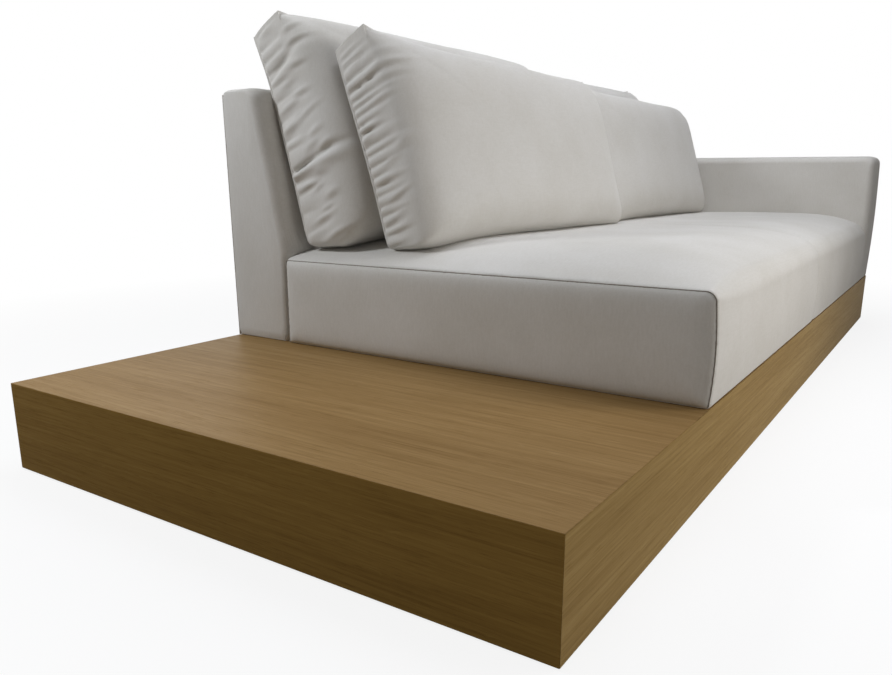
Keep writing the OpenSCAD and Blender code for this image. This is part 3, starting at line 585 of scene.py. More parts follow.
# Steps of the cover from its end seam: how far along, and how far drawn in
SEAM_EDGE_STEPS = [(2.4, 5.5), (2.6, 3.4), (3.4, 1.8), (5.0, 0.7), (8.0, 0.1)]
# Steps away from the middle seam, and the wider steps between the seams
MIDDLE_STEPS = np.array([1.5, 3, 5, 8, 13, 20, 28, 36])
WIDE_STEP = 11
ARM_STEP = 7


def seat_upholstery():
    """The seat's crowned cover, gathered a little at its two seams."""
    stations = [(SEAT_LEFT + d, inset) for d, inset in SEAM_EDGE_STEPS]
    xs = np.r_[np.arange(SEAT_LEFT + 13, SEAT_SEAM - 40, WIDE_STEP),
               SEAT_SEAM + np.r_[-MIDDLE_STEPS[::-1], 0, MIDDLE_STEPS],
               np.arange(SEAT_SEAM + 44, SEAT_RIGHT - 62, WIDE_STEP),
               np.arange(SEAT_RIGHT - 58, SEAT_RIGHT, ARM_STEP)]
    stations += [(x, 0.0) for x in xs] + [(SEAT_RIGHT - 0.5, 0.0)]
    rings = []
    for x, inset in stations:
        line = seat_line(x, inset)
        ring = at_x(x, line)
        along = np.r_[0, np.cumsum(np.linalg.norm(np.diff(line, axis=0), axis=1))]
        lift = pucker(along, x - SEAT_LEFT, *END_PUCKER) + pucker(along, x - SEAT_SEAM, *MIDDLE_PUCKER)
        soft = SEAT_UNEVENNESS * np.sin(x / 97 + ring[:, 1] / 143) * np.sin(ring[:, 1] / 88 - x / 210)
        top = np.clip((ring[:, 2] - SEAT_EDGE + 15) / 15, 0, 1)
        facing = (ring[:, 1] < SEAT_REAR - 20) & (ring[:, 2] > DECK + 12)
        ring[:, 2] += (lift + soft) * top * facing
        ring[:, 1] -= lift * (1 - top) * facing
        rings.append(ring)
    cover("seat_upholstery", loft(rings), "seat_cover", "seat_foam")


# The end panel's pillow: each ring's share of the way to the middle, and how far it stands out
PANEL_PILLOW = [(0.008, 1.6), (0.02, 3.2), (0.04, 5.0), (0.075, 7.2), (0.12, 9.2), (0.19, 11.2),
                (0.29, 12.8), (0.43, 13.8), (0.62, 14.4), (0.82, 14.6), (0.97, 14.6)]
PANEL_STEP = 9.0


def end_panel():
    """The flat sewn panel at the table's end of the seat, pillowed a little inside its seam."""
    hem_z = DECK + 2.4
    line = seat_line(SEAT_LEFT, 1.6)[1:-1]
    line[-1, 1] -= 2
    bottom = np.linspace(SEAT_REAR - 1, line[0, 0], 70)[1:-1]
    line = np.r_[line, [(SEAT_REAR - 1, hem_z)]]
    outline = np.r_[resample(line, PANEL_STEP), np.c_[bottom, np.full(len(bottom), hem_z)]]
    ring = at_x(SEAT_LEFT + 2.2, outline)
    centre = np.c_[ring[:, 0], np.clip(ring[:, 1], FRONT + 100, SEAT_REAR - 100),
                   np.full(len(ring), (DECK + SEAT_EDGE) / 2)]
    along = np.arange(len(ring)) * PANEL_STEP
    rings = [ring + (8, 0, 0), ring]
    for share, out in PANEL_PILLOW:
        inner = ring + (centre - ring) * share
        inner[:, 0] -= out + pucker(along, share * 100, *PANEL_PUCKER)
        rings.append(inner)
    cover("seat_end_panel_cloth", loft(rings[::-1]), "seat_end_panel")


THREAD_RADIUS = 1.15


def seam_threads_and_shade():
    """The stitching sunk in the seat's end seam and in the seam at its middle; its thread is darker than
    the cloth, as painted shade for the seams' grooves.
    """
    for name, x, inset, last in (("end_seam_thread", SEAT_LEFT + 0.6, 2.2, None),
                                 ("middle_seam_thread", SEAT_SEAM, -0.2, -3)):
        line = resample(seat_line(x, inset)[2:last], 3.0)
        wander = 0.25 * np.sin(np.arange(len(line)) * 2.1)
        points, faces = tube(np.c_[x + wander, line], THREAD_RADIUS)
        finish_piece(solid(name, points, faces, FINISHES["seam_thread"], COVER_CREASE), "sofa", "cloth")


# The back and the arm

def rake_y(z):
    """The front of the sofa's back at a height: upright to its knee, then raked."""
    upper = BACK_TOP - BACK_ROUND / 2
    return SEAT_REAR + BACK_RAKE * max(0.0, z - KNEE) / (upper - KNEE)


def rear_lean(z):
    """How far the outside of the back leans out at a height."""
    return BACK_LEAN * (z - DECK) / (BACK_TOP - REAR_SEAM_ROUND - DECK)


def bend(a, corner, b, steps):
    """A curve from a to b that is drawn towards a corner."""
    a, corner, b = map(np.array, (a, corner, b))
    return [(1 - t) ** 2 * a + 2 * t * (1 - t) * corner + t * t * b for t in np.linspace(0, 1, steps)]


def towards(a, b, distance):
    """The point at a distance from a on the way to b."""
    a, b = np.array(a, float), np.array(b, float)
    return a + (b - a) * distance / np.linalg.norm(b - a)


def rounding(depth, radius, steps):
    """Steps round an end: how far along, and how far drawn in."""
    angles = np.linspace(0, math.pi / 2, steps)
    return [(radius * (1 - math.cos(a)), depth * (1 - math.sin(a))) for a in angles]


def back_line(inset, front_inset):
    """The back's outline: up its front, round its soft edge, over the top and down its rear seam."""
    top = BACK_TOP - inset
    hem_z = DECK + 1.5
    foot = (SEAT_REAR + front_inset, hem_z)
    knee = (SEAT_REAR + front_inset, KNEE)
    edge = (rake_y(top) + front_inset, top)
    heel = (REAR - COVER - inset * 0.15, hem_z)
    heel_top = (REAR - COVER + rear_lean(top) - inset * 0.15, top)
    soft = bend(towards(edge, knee, BACK_ROUND), edge, towards(edge, heel_top, BACK_ROUND), 11)
    crisp = bend(towards(heel_top, edge, REAR_SEAM_ROUND), heel_top,
                 towards(heel_top, heel, REAR_SEAM_ROUND), 7)
    line = [foot, *[(foot[0], z) for z in np.linspace(DECK + 20, KNEE, 12)]]
    line += [*resample([knee, soft[0]], 18)[1:-1], *soft]
    line += [*resample([soft[-1], crisp[0]], 11)[1:-1], *crisp]
    line += [*resample([crisp[-1], heel], 20)[1:-1], heel]
    return np.array(line, float)


# How far the hem at the table's end of the back is turned under
HEM_TUCK = 7
# The pillow of the back's ends: each ring's share of the way to the middle, and how far it stands out
CAP_PILLOW = [(0.03, 0.2), (0.07, 0.9), (0.14, 1.8), (0.26, 2.7), (0.42, 3.3), (0.62, 3.6), (0.85, 3.7)]


def back_upholstery():
    """The back's cover, soft along its front edge and pillowed at its ends."""
    steps = rounding(CAP_DEPTH, BACK_CAP, 11)
    xs = np.arange(SEAT_LEFT + 56, RIGHT - 40, 16)
    stations = [(SEAT_LEFT + d, i) for d, i in steps] + [(x, 0.0) for x in xs]
    stations += [(RIGHT - d * 0.5, i * 0.5) for d, i in steps[::-1]]
    rings = []
    for x, inset in stations:
        line = back_line(inset * 0.45, inset)
        ring = at_x(x, line)
        soft = BACK_UNEVENNESS * np.sin(x / 120 + ring[:, 2] / 75) * np.sin(ring[:, 2] / 60 - x / 260)
        ring[:, 1] += soft * np.clip((ring[:, 2] - DECK - 20) / 60, 0, 1) * (ring[:, 1] < REAR - 40)
        tucked = np.clip(1 - (ring[:, 2] - DECK) / 10, 0, 1) ** 2
        ring[:, 0] += HEM_TUCK * tucked * (x < SEAT_LEFT + 45)
        rings.append(ring)
    hub = np.array([0, (SEAT_REAR + REAR) / 2 + 10, (DECK + BACK_TOP) / 2])
    for outer, x, way in ((rings[0], SEAT_LEFT, -1), (rings[-1], RIGHT, 1)):
        for share, out in CAP_PILLOW:
            inner = outer + (hub - outer) * share
            inner[:, 0] = x + way * out
            rings.insert(0 if way < 0 else len(rings), inner)
    cover("back_upholstery", loft(rings), "back_cover", "back_foam")


# Steps of the outside panel from its border, and how far the seam there sinks in
BORDER_STEPS = np.array([0, 1.5, 4, 9, 25])
BORDER_SINK = 2.2


def bordered(span, start, count):
    """Places along a span that crowd at its two ends."""
    return np.unique(np.r_[BORDER_STEPS, np.linspace(start, span - start, count), span - BORDER_STEPS])


def outside_panel():
    """The cloth stretched over the outside of the back, sewn round its border."""
    top = BACK_TOP - REAR_SEAM_ROUND
    xs = bordered(RIGHT - SEAT_LEFT, 40, 90) + SEAT_LEFT
    zs = bordered(top - DECK, 25, 30) + DECK + 1
    x, z = (grid.ravel() for grid in np.meshgrid(xs, zs))
    border = np.minimum(np.minimum(x - SEAT_LEFT, RIGHT - x), np.minimum(z - DECK - 1, top + 1 - z))
    y = REAR + rear_lean(z)
    z = np.minimum(z, top)
    points = np.r_[np.c_[x, y - BORDER_SINK * np.exp(-border / 3.0), z], np.c_[x, y - COVER, z]]
    total = len(x)
    rim = grid_rim(len(xs), len(zs))
    faces = [(a, d, c, b) for a, b, c, d in grid_faces(len(xs), len(zs))]
    faces += grid_faces(len(xs), len(zs), total)
    faces += [(a, b, total + b, total + a) for a, b in zip(rim, rim[1:] + rim[:1])]
    cover("back_outside_cloth", (points, faces), "back_outside_cover", sharp=TRIM_CREASE)


def arm_line(inset):
    """The arm's outline, up its front, round its soft edge and back along its top."""
    top = ARM_TOP - inset
    face = FRONT + inset
    line = front_rise(face, top - ARM_ROUND, 0.02, 26)
    line += bend((face, top - ARM_ROUND), (face, top), (face + ARM_ROUND, top), 13)[1:]
    line += [(y, top) for y in np.linspace(face + ARM_ROUND + 8, rake_y(top) - 4, 60)]
    line += [(rake_y(top) - 1, top - 4), *[(rake_y(z) - 1, z) for z in np.linspace(top - 12, KNEE, 14)],
             (SEAT_REAR - 1, HEM_Z)]
    return np.array(line, float)


def arm_upholstery():
    """The arm's cover, rounded at both sides and a little crowned along its top."""
    steps = rounding(CAP_DEPTH, ARM_CAP, 9)
    xs = np.linspace(SEAT_RIGHT + 34, ARM_OUTSIDE - 34, 12)
    stations = [(SEAT_RIGHT + d, i) for d, i in steps] + [(x, 0.0) for x in xs]
    stations += [(ARM_OUTSIDE - d, i) for d, i in steps[::-1]]
    rings = []
    for x, inset in stations:
        line = arm_line(inset)
        ring = at_x(x, line)
        across = (x - SEAT_RIGHT) / (ARM_OUTSIDE - SEAT_RIGHT) * 2 - 1
        ring[:, 2] += np.where(ring[:, 2] > ARM_TOP - 40, ARM_CROWN * (1 - across ** 2), 0)
        rings.append(ring)
    cover("arm_upholstery", loft(rings), "arm_cover", "arm_foam")


seat_upholstery()
end_panel()
seam_threads_and_shade()
back_upholstery()
outside_panel()
arm_upholstery()


# The loose cushions

# Each cushion's left end, its width between its ears and its height there; the shares of that height and
# of the ears' rise at its two ends; its swell, side and turn; and how far its rear seam hangs behind its
# flat back at the table's end, below and above the place where that changes
CUSHIONS = {
    "rear_left": dict(start=SEAT_LEFT + REAR_INSET, width=1000.83, height=REAR_HEIGHT, ends=(1, 0.985),
                      ears=(0.5, 0.6), swell=TABLE_SWELL, side=REAR_SIDE, hangs=(0, 12, 395, 150)),
    "rear_right": dict(start=210.8, width=946.2, height=REAR_HEIGHT, ends=(0.975, 0.98),
                       ears=(0.4, 0.6), swell=ARM_SWELL, side=REAR_SIDE),
    "front_left": dict(start=SEAT_LEFT + FRONT_INSET, width=969.9, height=FRONT_HEIGHT, ends=(1, 0.985),
                       ears=(1.12, 0.35), swell=LOW_SWELL, side=FRONT_SIDE, hangs=(11, 25, 0, 455)),
    "front_right": dict(start=209.2, width=952.7, height=FRONT_HEIGHT, ends=(0.97, 0.96),
                        ears=(0.4, 0.4), swell=LOW_SWELL, side=FRONT_SIDE, turn=CUSHION_TURN / 2,
                        far_corner=14),
}
# The rear cushions lean on the upper edge of the sofa's back, and the front cushions on the rear ones
SUPPORT_Z = BACK_TOP - BACK_ROUND
REAR_FOOT = (rake_y(SUPPORT_Z) - (SUPPORT_Z - FOOT_Z) * math.tan(LEAN) - REAR_SIDE / math.cos(LEAN)
             - SOFT_GAP + EDGE_ROUND * math.sin(math.radians(CUSHION_TURN)))
FRONT_FOOT = (REAR_FOOT - (FRONT_INSET - REAR_INSET) * math.tan(math.radians(CUSHION_TURN))
              - (TABLE_SWELL + FRONT_SIDE + CUSHION_GAP) / math.cos(LEAN)
              / math.cos(math.radians(CUSHION_TURN)))


class Cushion:
    """One loose cushion: u runs along it, v up its lean from its foot and w out of its front."""

    def __init__(self, name, start, width, height, ends, ears, swell, side, turn=CUSHION_TURN,
                 hangs=(0, 0, 0, 1), far_corner=SQUARE_CORNER):
        self.name = name
        self.width, self.height, self.ends, self.ears = width, height, ends, ears
        self.swell, self.side, self.hangs, self.far_corner = swell, side, hangs, far_corner
        self.turn = math.radians(turn)
        self.centre = start + width / 2
        foot = REAR_FOOT if name.startswith("rear") else FRONT_FOOT
        self.foot = foot - width / 2 * math.sin(self.turn)

    def placed(self, local):
        """Points of the cushion's own axes in the part's frame."""
        u, v, w = np.asarray(local, float).T
        y = v * math.sin(LEAN) - w * math.cos(LEAN)
        z = v * math.cos(LEAN) + w * math.sin(LEAN)
        return np.c_[self.centre + u * math.cos(self.turn) + y * math.sin(self.turn),
                     self.foot - u * math.sin(self.turn) + y * math.cos(self.turn), FOOT_Z + z]

    def local(self, points):
        """Points of the part's frame in the cushion's own axes."""
        x, y, z = (np.asarray(points, float) - np.array([self.centre, self.foot, FOOT_Z])).T
        u = x * math.cos(self.turn) - y * math.sin(self.turn)
        depth = x * math.sin(self.turn) + y * math.cos(self.turn)
        return np.c_[u, depth * math.sin(LEAN) + z * math.cos(LEAN),
                     -depth * math.cos(LEAN) + z * math.sin(LEAN)]

    def hang(self, u, v):
        """How far the rear seam hangs behind the flat back near the table's end."""
        low, high, start, run = self.hangs
        end = np.clip(1 - (u + self.width / 2) / HANG_REACH, 0, 1) ** 1.5
        return (low + (high - low) * smooth((v - start) / run)) * end

    def afore(self, local):
        """How far points stand in front of the back."""
        return local[:, 2] + self.side + self.hang(local[:, 0], local[:, 1])

    def outline(self, a, b, w, drawn=0.0, tucked=0.0):
        """Local points for places a, b on the unit square, whose edge is the outline.

        They are drawn in from the edge, and tucked in at its corners.
        """
        share = np.maximum(np.abs(a), np.abs(b))
        safe = np.maximum(share, 1e-6)
        edge_a, edge_b = a / safe, b / safe
        power = np.where(b < 0, LOW_CORNER, np.where(a > 0, self.far_corner, SQUARE_CORNER))
        rounded = (np.abs(edge_a) ** power + np.abs(edge_b) ** power) ** (-1 / power)
        share = share * (1 - (1 - rounded) * np.where(b < 0, 1, share ** 8))
        diagonal = (edge_a * edge_b) ** 2
        pinch = 1 - 0.3 * (1 - share) * diagonal
        corner = tucked * diagonal ** 2 * share ** 4
        across = 1 - (1 - share) ** 1.3
        half_width = self.width / 2 - drawn - SIDE_DRAW * (1 - edge_b ** 2)
        u = edge_a * (across * pinch * half_width - corner * 0.3)
        t = u / self.width + 0.5
        half = self.height * (self.ends[0] + (self.ends[1] - self.ends[0]) * t) / 2
        rise = self.ears[0] + (self.ears[1] - self.ears[0]) * t
        ear = EAR_RISE * rise * np.abs(edge_a * edge_b) ** 4.5 * share ** 4
        top = share * pinch * (half - drawn) + ear
        low = share * pinch * (half - drawn - BOTTOM_DRAW * (1 - edge_a ** 2))
        v = half + edge_b * (np.where(edge_b > 0, top, low) - corner)
        return np.c_[u, v, np.broadcast_to(w, u.shape)]

    def settle(self, local):
        """Points that would reach into the seat are pushed up the lean until they rest on it."""
        x, y, z = self.placed(local).T
        rest = seat_top(x, np.minimum(y, SEAT_REAR)) + valley(x) + tuck(x) / 3 + SOFT_GAP
        rest += np.where(x < SEAT_LEFT + CROWN_LENGTH, 0.6, 0.0)
        settled = np.array(local, float)
        settled[:, 1] += np.maximum(0, rest - z) / math.cos(LEAN)
        return settled


def smooth(t):
    """From 0 to 1 with a soft start and end."""
    t = np.clip(t, 0, 1)
    return t * t * (3 - 2 * t)


def crowded(steps, border, step):
    """Places from -1 to 1 that crowd towards both ends, where the surface turns down."""
    turn = 1 - border * np.linspace(0, 1, steps) ** 2
    inner = np.linspace(border - 1, 1 - border, int(2 * (1 - border) / step))
    return np.r_[-turn, inner[1:-1], turn[::-1]]


# How far each ring of the side stands in front of the back, and how far it is drawn in:
# a welt round the rear seam, then a groove beside it
WELT = [(0, 4.2), (1, 1.9), (2.2, 0.9), (3.6, 1.3), (5, 3.5), (6.6, 2.7), (8.6, 1.3), (11, 0.6),
        (14.5, 0.2)]
WELT_END = 19.5
RING_STEP = 6
# The share of the welt that is lost at the corners
CORNER_SOFTNESS = 0.85
# The front's grid, along and up: the steps in its border, the border's share, and the step between
GRID_ALONG, GRID_UP = (14, 0.12, 0.02), (17, 0.15, 0.0155)


def cushion_base(c):
    """Points and faces of a cushion: a crowned front, a band round its side and a flat back."""
    a, b = crowded(*GRID_ALONG), crowded(*GRID_UP)
    columns, rows = len(a), len(b)
    square = np.concatenate([
        np.c_[a[:-1], -np.ones(columns - 1)], np.c_[np.ones(rows - 1), b[:-1]],
        np.c_[a[::-1][:-1], np.ones(columns - 1)], np.c_[-np.ones(rows - 1), b[::-1][:-1]]])
    a, b = (grid.ravel() for grid in np.meshgrid(a, b))
    share = np.maximum(np.abs(a), np.abs(b))
    sharp = 6 + 26 * share ** 6
    full = np.minimum(1, (np.abs(a) ** sharp + np.abs(b) ** sharp) ** (1 / sharp))
    full = np.where(b > 0, full, share)
    slack = 1 - np.where(b > 0, 0.95, 0) * np.abs(a * b) ** 6
    sheets = [c.outline(a, b, c.swell * np.sqrt(1 - full ** 5) * slack)]
    rings = WELT + [(d, 0.0) for d in np.arange(WELT_END, c.side - 2, RING_STEP)]
    for d, drawn in rings[:0:-1]:
        soft = 1 - CORNER_SOFTNESS * (square[:, 0] * square[:, 1]) ** 4
        sheets.append(c.outline(*square.T, d - c.side, drawn * soft, CORNER_TUCK * (1 - d / c.side) ** 1.3))
    soft = 1 - CORNER_SOFTNESS * (a * b) ** 4
    sheets.append(c.outline(a, b, -c.side, WELT[0][1] * soft, CORNER_TUCK))
    count = len(square)
    starts = np.cumsum([0] + [len(sheet) for sheet in sheets])
    rim = grid_rim(columns, rows)
    loops = [rim, *[range(start, start + count) for start in starts[1:-2]], [starts[-2] + i for i in rim]]
    faces = [(low[i], high[i], high[(i + 1) % count], low[(i + 1) % count])
             for low, high in zip(loops, loops[1:]) for i in range(count)]
    for start, way in ((0, 1), (starts[-2], -1)):
        faces += [face[::way] for face in grid_faces(columns, rows, start)]
    local = np.concatenate(sheets)
    local[:, 2] -= c.hang(*local[:, :2].T) * np.clip(-local[:, 2] / c.side, 0, 1)
    return c.settle(local), faces


def fan(c, depth, reach, rise, pitch):
    """Gathers up a side, one row each: place up it, depth, reach and rise."""
    places = [0.03 * c.height]
    while places[-1] < 1.1 * c.height:
        places.append(places[-1] + pitch * rng.uniform(0.6, 1.35))
    up = np.clip(np.array(places) / c.height, 0, 1)
    count = len(places)
    depths = depth * rng.uniform(0.4, 1, count) * (0.5 + 0.5 * up)
    reaches = reach * rng.uniform(0.6, 1.1, count) * (0.55 + 0.45 * up)
    rises = rise * up ** 1.2 * rng.uniform(0.85, 1.1, count)
    return np.c_[places, depths, reaches, rises]


def from_seam(c, local, side):
    """How far points lie from the rear seam at one end of a cushion."""
    return np.hypot(np.maximum(c.width / 2 - side * local[:, 0], 0), c.afore(local))


def gathered(c, local, side, furrows):
    """How far the gathers of one side move each point: rounded ridges with sharp furrows between them."""
    v = local[:, 1]
    away = from_seam(c, local, side)
    places, depths, reaches, rises = furrows.T
    up = v
    for _ in range(3):
        up = v - np.interp(up, places, rises) * away * (1 - 0.2 * away / reaches.max())
    place = np.interp(up, places, np.arange(len(places)))
    row = np.clip(place.astype(int), 0, len(places) - 2)
    hump = np.sin(math.pi * np.clip(place - row, 0, 1))
    ridge = hump ** 0.7 - 0.62
    reach = reaches[row] * (0.7 + 0.3 * hump)
    fade = smooth((away - 3) / 10) * (1 - smooth((away / reach - 0.3) / 0.7))
    ends = smooth(v / 40) * smooth((c.height + 20 - v) / 30)
    return depths[row] * ridge * fade * ends


def fold(c, local, side, place, rise, depth, reach, breadth):
    """One deep fold that runs from the rear seam towards the front."""
    away = from_seam(c, local, side)
    off = local[:, 1] - place - rise * away
    wide = breadth * (0.7 + 0.8 * away / reach)
    shape = 0.8 * np.exp(-((off + 2.4 * wide) / (1.7 * wide)) ** 2) - np.exp(-(off / wide) ** 2)
    return depth * shape * smooth((away - 4) / 14) * (1 - smooth((away / reach - 0.5) / 0.5))


def crumpled(c, local, side, count, depth):
    """Short lumps between the gathers of one side, from a filling that has shifted."""
    away = from_seam(c, local, side)
    total = np.zeros(len(away))
    for i in range(count):
        place = (i + rng.uniform(0.1, 0.9)) / count * c.height
        middle = rng.uniform(26, c.side + 40)
        rise = rng.uniform(0.0, 0.35)
        length = rng.uniform(16, 36)
        breadth = rng.uniform(5, 9.5)
        lump = depth * rng.uniform(0.5, 1)
        off = local[:, 1] - place - rise * (away - middle)
        ridge = np.exp(-(off / breadth) ** 2)
        dip = 0.6 * np.exp(-((off + 1.9 * breadth) / (1.3 * breadth)) ** 2)
        total += lump * (ridge - dip) * np.exp(-((away - middle) / length) ** 2)
    return total * smooth((away - 6) / 16)


def sculpt(piece, c, gathers):
    """Draws gathers and a slow unevenness into a cushion, and keeps it clear of what it rests on."""
    mesh = piece.data
    points, normals = (np.empty(3 * len(mesh.vertices)) for _ in range(2))
    mesh.vertices.foreach_get("co", points)
    mesh.vertices.foreach_get("normal", normals)
    points, normals = points.reshape(-1, 3) / MM, normals.reshape(-1, 3)
    local = c.local(points)
    u, v = local[:, :2].T
    afore = c.afore(local)
    phase = rng.uniform(0, 6, 4)
    height = CUSHION_UNEVENNESS * np.sin(u / 88 + phase[0] + 0.8 * np.sin(v / 70 + phase[1])) * np.sin(
        v / 63 + phase[2] + u / 240)
    for side, furrows in gathers:
        height += gathered(c, local, side, furrows)
    for facts in FOLDS.get(c.name, ()):
        height += fold(c, local, *facts)
    height += crumpled(c, local, *CRUMPLES[c.name])

    # The side that meets the other cushion of the pair stays nearly within the base form
    inner = 1 if c.name.endswith("left") else -1
    near = smooth((inner * u * 2 / c.width - 0.9) / 0.08)
    height = np.minimum(height, 0.1 + 12 * (1 - near))

    # Nothing moves on the flat back and at the rear seam's top edge
    height *= smooth((afore - 1) / 12)
    height *= smooth(np.hypot(np.maximum(c.height - v, 0), afore) / 45)
    local = c.local(points + normals * height[:, None])
    local[:, 2] -= np.minimum(0, c.afore(local))
    points = c.placed(c.settle(local)) * MM
    mesh.vertices.foreach_set("co", points.ravel())
    mesh.update()


# Depth, reach, rise and pitch of the gathers of each side, left and then right
GATHERS = {
    "rear_left": ((9.0, 190, 0.2, 36), (5.0, 120, 0.3, 32)),
    "rear_right": ((5.0, 120, 0.3, 32), (6.5, 140, 0.35, 30)),
    "front_left": ((14.0, 200, 0.22, 23), (5.0, 120, 0.3, 30)),
    "front_right": ((5.0, 110, 0.3, 30), (8.0, 160, 0.35, 28)),
}
# The side that is crumpled, -1 for the left, with the number of its lumps and their depth
CRUMPLES = {
    "rear_left": (-1, 24, 4.2),
    "rear_right": (1, 12, 2.5),
    "front_left": (-1, 18, 3.2),
    "front_right": (1, 12, 3.0),
}
# Side, place up it, rise, depth, reach and breadth of each deep fold
FOLDS = {
    "rear_left": ((-1, 196.0, 0.16, 10.0, 200.0, 6.5), (-1, 400.0, 0.45, 4.0, 170.0, 8.0)),
}


def make_cushion(c):
    """A loose cushion, from its smooth base form to its gathers and crumples."""
    name = c.name + "_cushion"
    points, faces = cushion_base(c)
    piece = solid(name, c.placed(points), faces, FINISHES["cushion_cloth"], COVER_CREASE)
    sculpt(piece, c, [(side, fan(c, *row)) for side, row in zip((-1, 1), GATHERS[c.name])])
    finish_piece(piece, name, "cushion_cloth", name + "_cover", name + "_filling", fill=CUSHION_FILL)


# The zips in the cushions' backs

def joined(parts):
    """Several pieces of points and faces as one."""
    starts = np.cumsum([0] + [len(points) for points, _ in parts])
    return (np.concatenate([points for points, _ in parts]),
            [tuple(start + i for i in face) for start, (_, faces) in zip(starts, parts) for face in faces])


def skinned(rings):
    """Points and faces of a small closed form over rings, with flat ends."""
    rings = [np.asarray(ring, float) for ring in rings]
    count = len(rings[0])
    last = (len(rings) - 1) * count
    return np.concatenate(rings), loft_faces(len(rings), count) + [
        tuple(range(count))[::-1], tuple(range(last, last + count))]


def pebble(half_u, half_v, power, levels, at, count=24):
    """A flat piece with a rounded outline; each level gives a height and how far it is drawn in."""
    turn = np.arange(count) * 2 * math.pi / count
    across, up = np.cos(turn), np.sin(turn)
    stretch = (np.abs(across) ** power + np.abs(up) ** power) ** (-1 / power)
    return skinned([np.c_[at[0] + across * stretch * (half_u - inset),
                          at[1] + up * stretch * (half_v - inset), np.full(count, out)]
                    for out, inset in levels])


def bar(profile, start, end):
    """A bar along the zip over a profile of places up the back and heights out of it."""
    return skinned([[(u, v, out) for v, out in profile] for u in (start, end)])


def both_sides(profile):
    """A profile and its mirror image, from one edge to the other."""
    return [*profile, *[(-v, out) for v, out in profile[::-1]]]


def frame_pull(half_width, length, wall, top, levels):
    """An open frame that hangs from the slider, round at its lower end.

    Each level gives a height, how far the edge is eased there, and 1 inside the frame or -1 outside.
    """
    turn = np.linspace(0, math.pi, 17)
    loops = []
    for out, eased, way in levels:
        inset = way * eased - (wall if way > 0 else 0)
        half = half_width + inset
        head = top + inset
        bow = [(half * math.cos(t), top - length - half * math.sin(t), out) for t in turn]
        loops.append([(half, head, out), *bow, (-half, head, out)])
    count = len(loops[0])
    last = (len(loops) - 1) * count
    closing = [(last + i, last + (i + 1) % count, (i + 1) % count, i) for i in range(count)]
    return np.concatenate(np.array(loops, float)), loft_faces(len(loops), count) + closing


# How far the coil, its stops, the stitches and the slider lie from the zip's ends
COIL_MARGIN, STOP_MARGIN, STITCH_MARGIN, SLIDER_MARGIN = 9, 5.5, 7, 9.5
# Profiles across the zip, as places up the back and heights out of it
TAPE_EDGE = ZIP_WIDTH / 2
TAPE = both_sides([(TAPE_EDGE, -0.5), (TAPE_EDGE, 0.2), (3.4, 0.22), (2.9, 0.42), (1.5, 0.42), (1.1, 0.1)])
LIP = [(TAPE_EDGE + 2, -0.5), (TAPE_EDGE + 1.6, 0.3), (TAPE_EDGE, 0.75), (TAPE_EDGE - 2.6, 0.85),
       (TAPE_EDGE - 3.3, 0.6), (TAPE_EDGE - 3.4, -0.5)]
# A tooth's rings, as places across the coil and shares of its width
TOOTH = [(-2.5, 0.45), (-2.1, 0.9), (-0.6, 1), (0.6, 1), (2.1, 0.9), (2.5, 0.45)]
# Levels of the small pieces, as heights and how far each is drawn in there
STOP = [(0, 0), (0.8, 0), (1.0, 0.4)]
TACK = [(-0.5, 0), (0.8, 0), (1.1, 0.5)]
STITCH = [(0.6, 0), (0.98, 0), (1.08, 0.15)]
SLIDER = [(1.0, 0.7), (1.3, 0), (2.0, 0), (2.5, 0.5), (2.6, 1.4)]
BRIDGE = [(2.2, 0), (2.8, 0.1), (3.0, 0.6)]
PULL = [(1.0, 0.25, -1), (1.25, 0, -1), (1.75, 0, -1), (2.0, 0.25, -1),
        (2.0, 0.25, 1), (1.75, 0, 1), (1.25, 0, 1), (1.0, 0.25, 1)]


def zip_piece(c, suffix, parts, body, slot, *replaced):
    """One piece of a cushion's zip, from parts drawn along the zip, up the back and out of it."""
    points, faces = joined(parts)
    local = np.c_[points[:, 0], points[:, 1] + ZIP_SHARE * c.height, -c.side - points[:, 2]]
    piece = solid(c.name + suffix, c.placed(local), faces, FINISHES[slot], TRIM_CREASE)
    finish_piece(piece, body, slot, *replaced)


def make_zip(c):
    """Two tapes and a coil, lips of the cover stitched over the tapes, and the slider with its pull."""
    half = ZIP_LENGTH / 2
    turn = np.arange(8) * math.pi / 4
    tooth = [np.c_[1.05 * wide * np.cos(turn), np.full(8, v), 0.4 + 0.5 * wide * np.sin(turn)]
             for v, wide in TOOTH]
    places = np.arange(COIL_MARGIN - half, half - COIL_MARGIN + 1, TOOTH_PITCH)
    teeth = [skinned([ring + (u, 0.35 * (-1) ** i, 0) for ring in tooth]) for i, u in enumerate(places)]
    stops = [pebble(1.8, 3.1, 5, STOP, (u, 0)) for u in (STOP_MARGIN - half, half - STOP_MARGIN)]
    zip_piece(c, "_zip_tapes", [bar(TAPE, -half, half), *teeth, *stops],
              c.name + "_cushion", "zip_tape", c.name + "_zip")

    lips = [bar([(way * v, out) for v, out in LIP], -half - 2, half + 2) for way in (-1, 1)]
    tacks = [pebble(3, TAPE_EDGE + 2, 8, TACK, (u, 0)) for u in (-half, half)]
    places = np.arange(STITCH_MARGIN - half, half - STITCH_MARGIN + 1, STITCH_PITCH)
    stitches = [pebble(1.4, 0.35, 3, STITCH, (u, way * (TAPE_EDGE - 1.2)), 8)
                for way in (-1, 1) for u in places]
    zip_piece(c, "_zip_lips", [*lips, *tacks, *stitches], c.name + "_cushion", "cushion_cloth")

    middle = SLIDER_MARGIN - half
    pull, faces = frame_pull(2.5, 19, 1.1, -4.5, PULL)
    zip_piece(c, "_zip_pull", [pebble(4.5, 6, 3, SLIDER, (middle, 0), 32),
                               pebble(1.1, 3.2, 4, BRIDGE, (middle, -0.5), 16),
                               (pull + (middle, 0, 0.6), faces)],
              c.name + "_slider", "zip_metal", c.name + "_zip_slider")


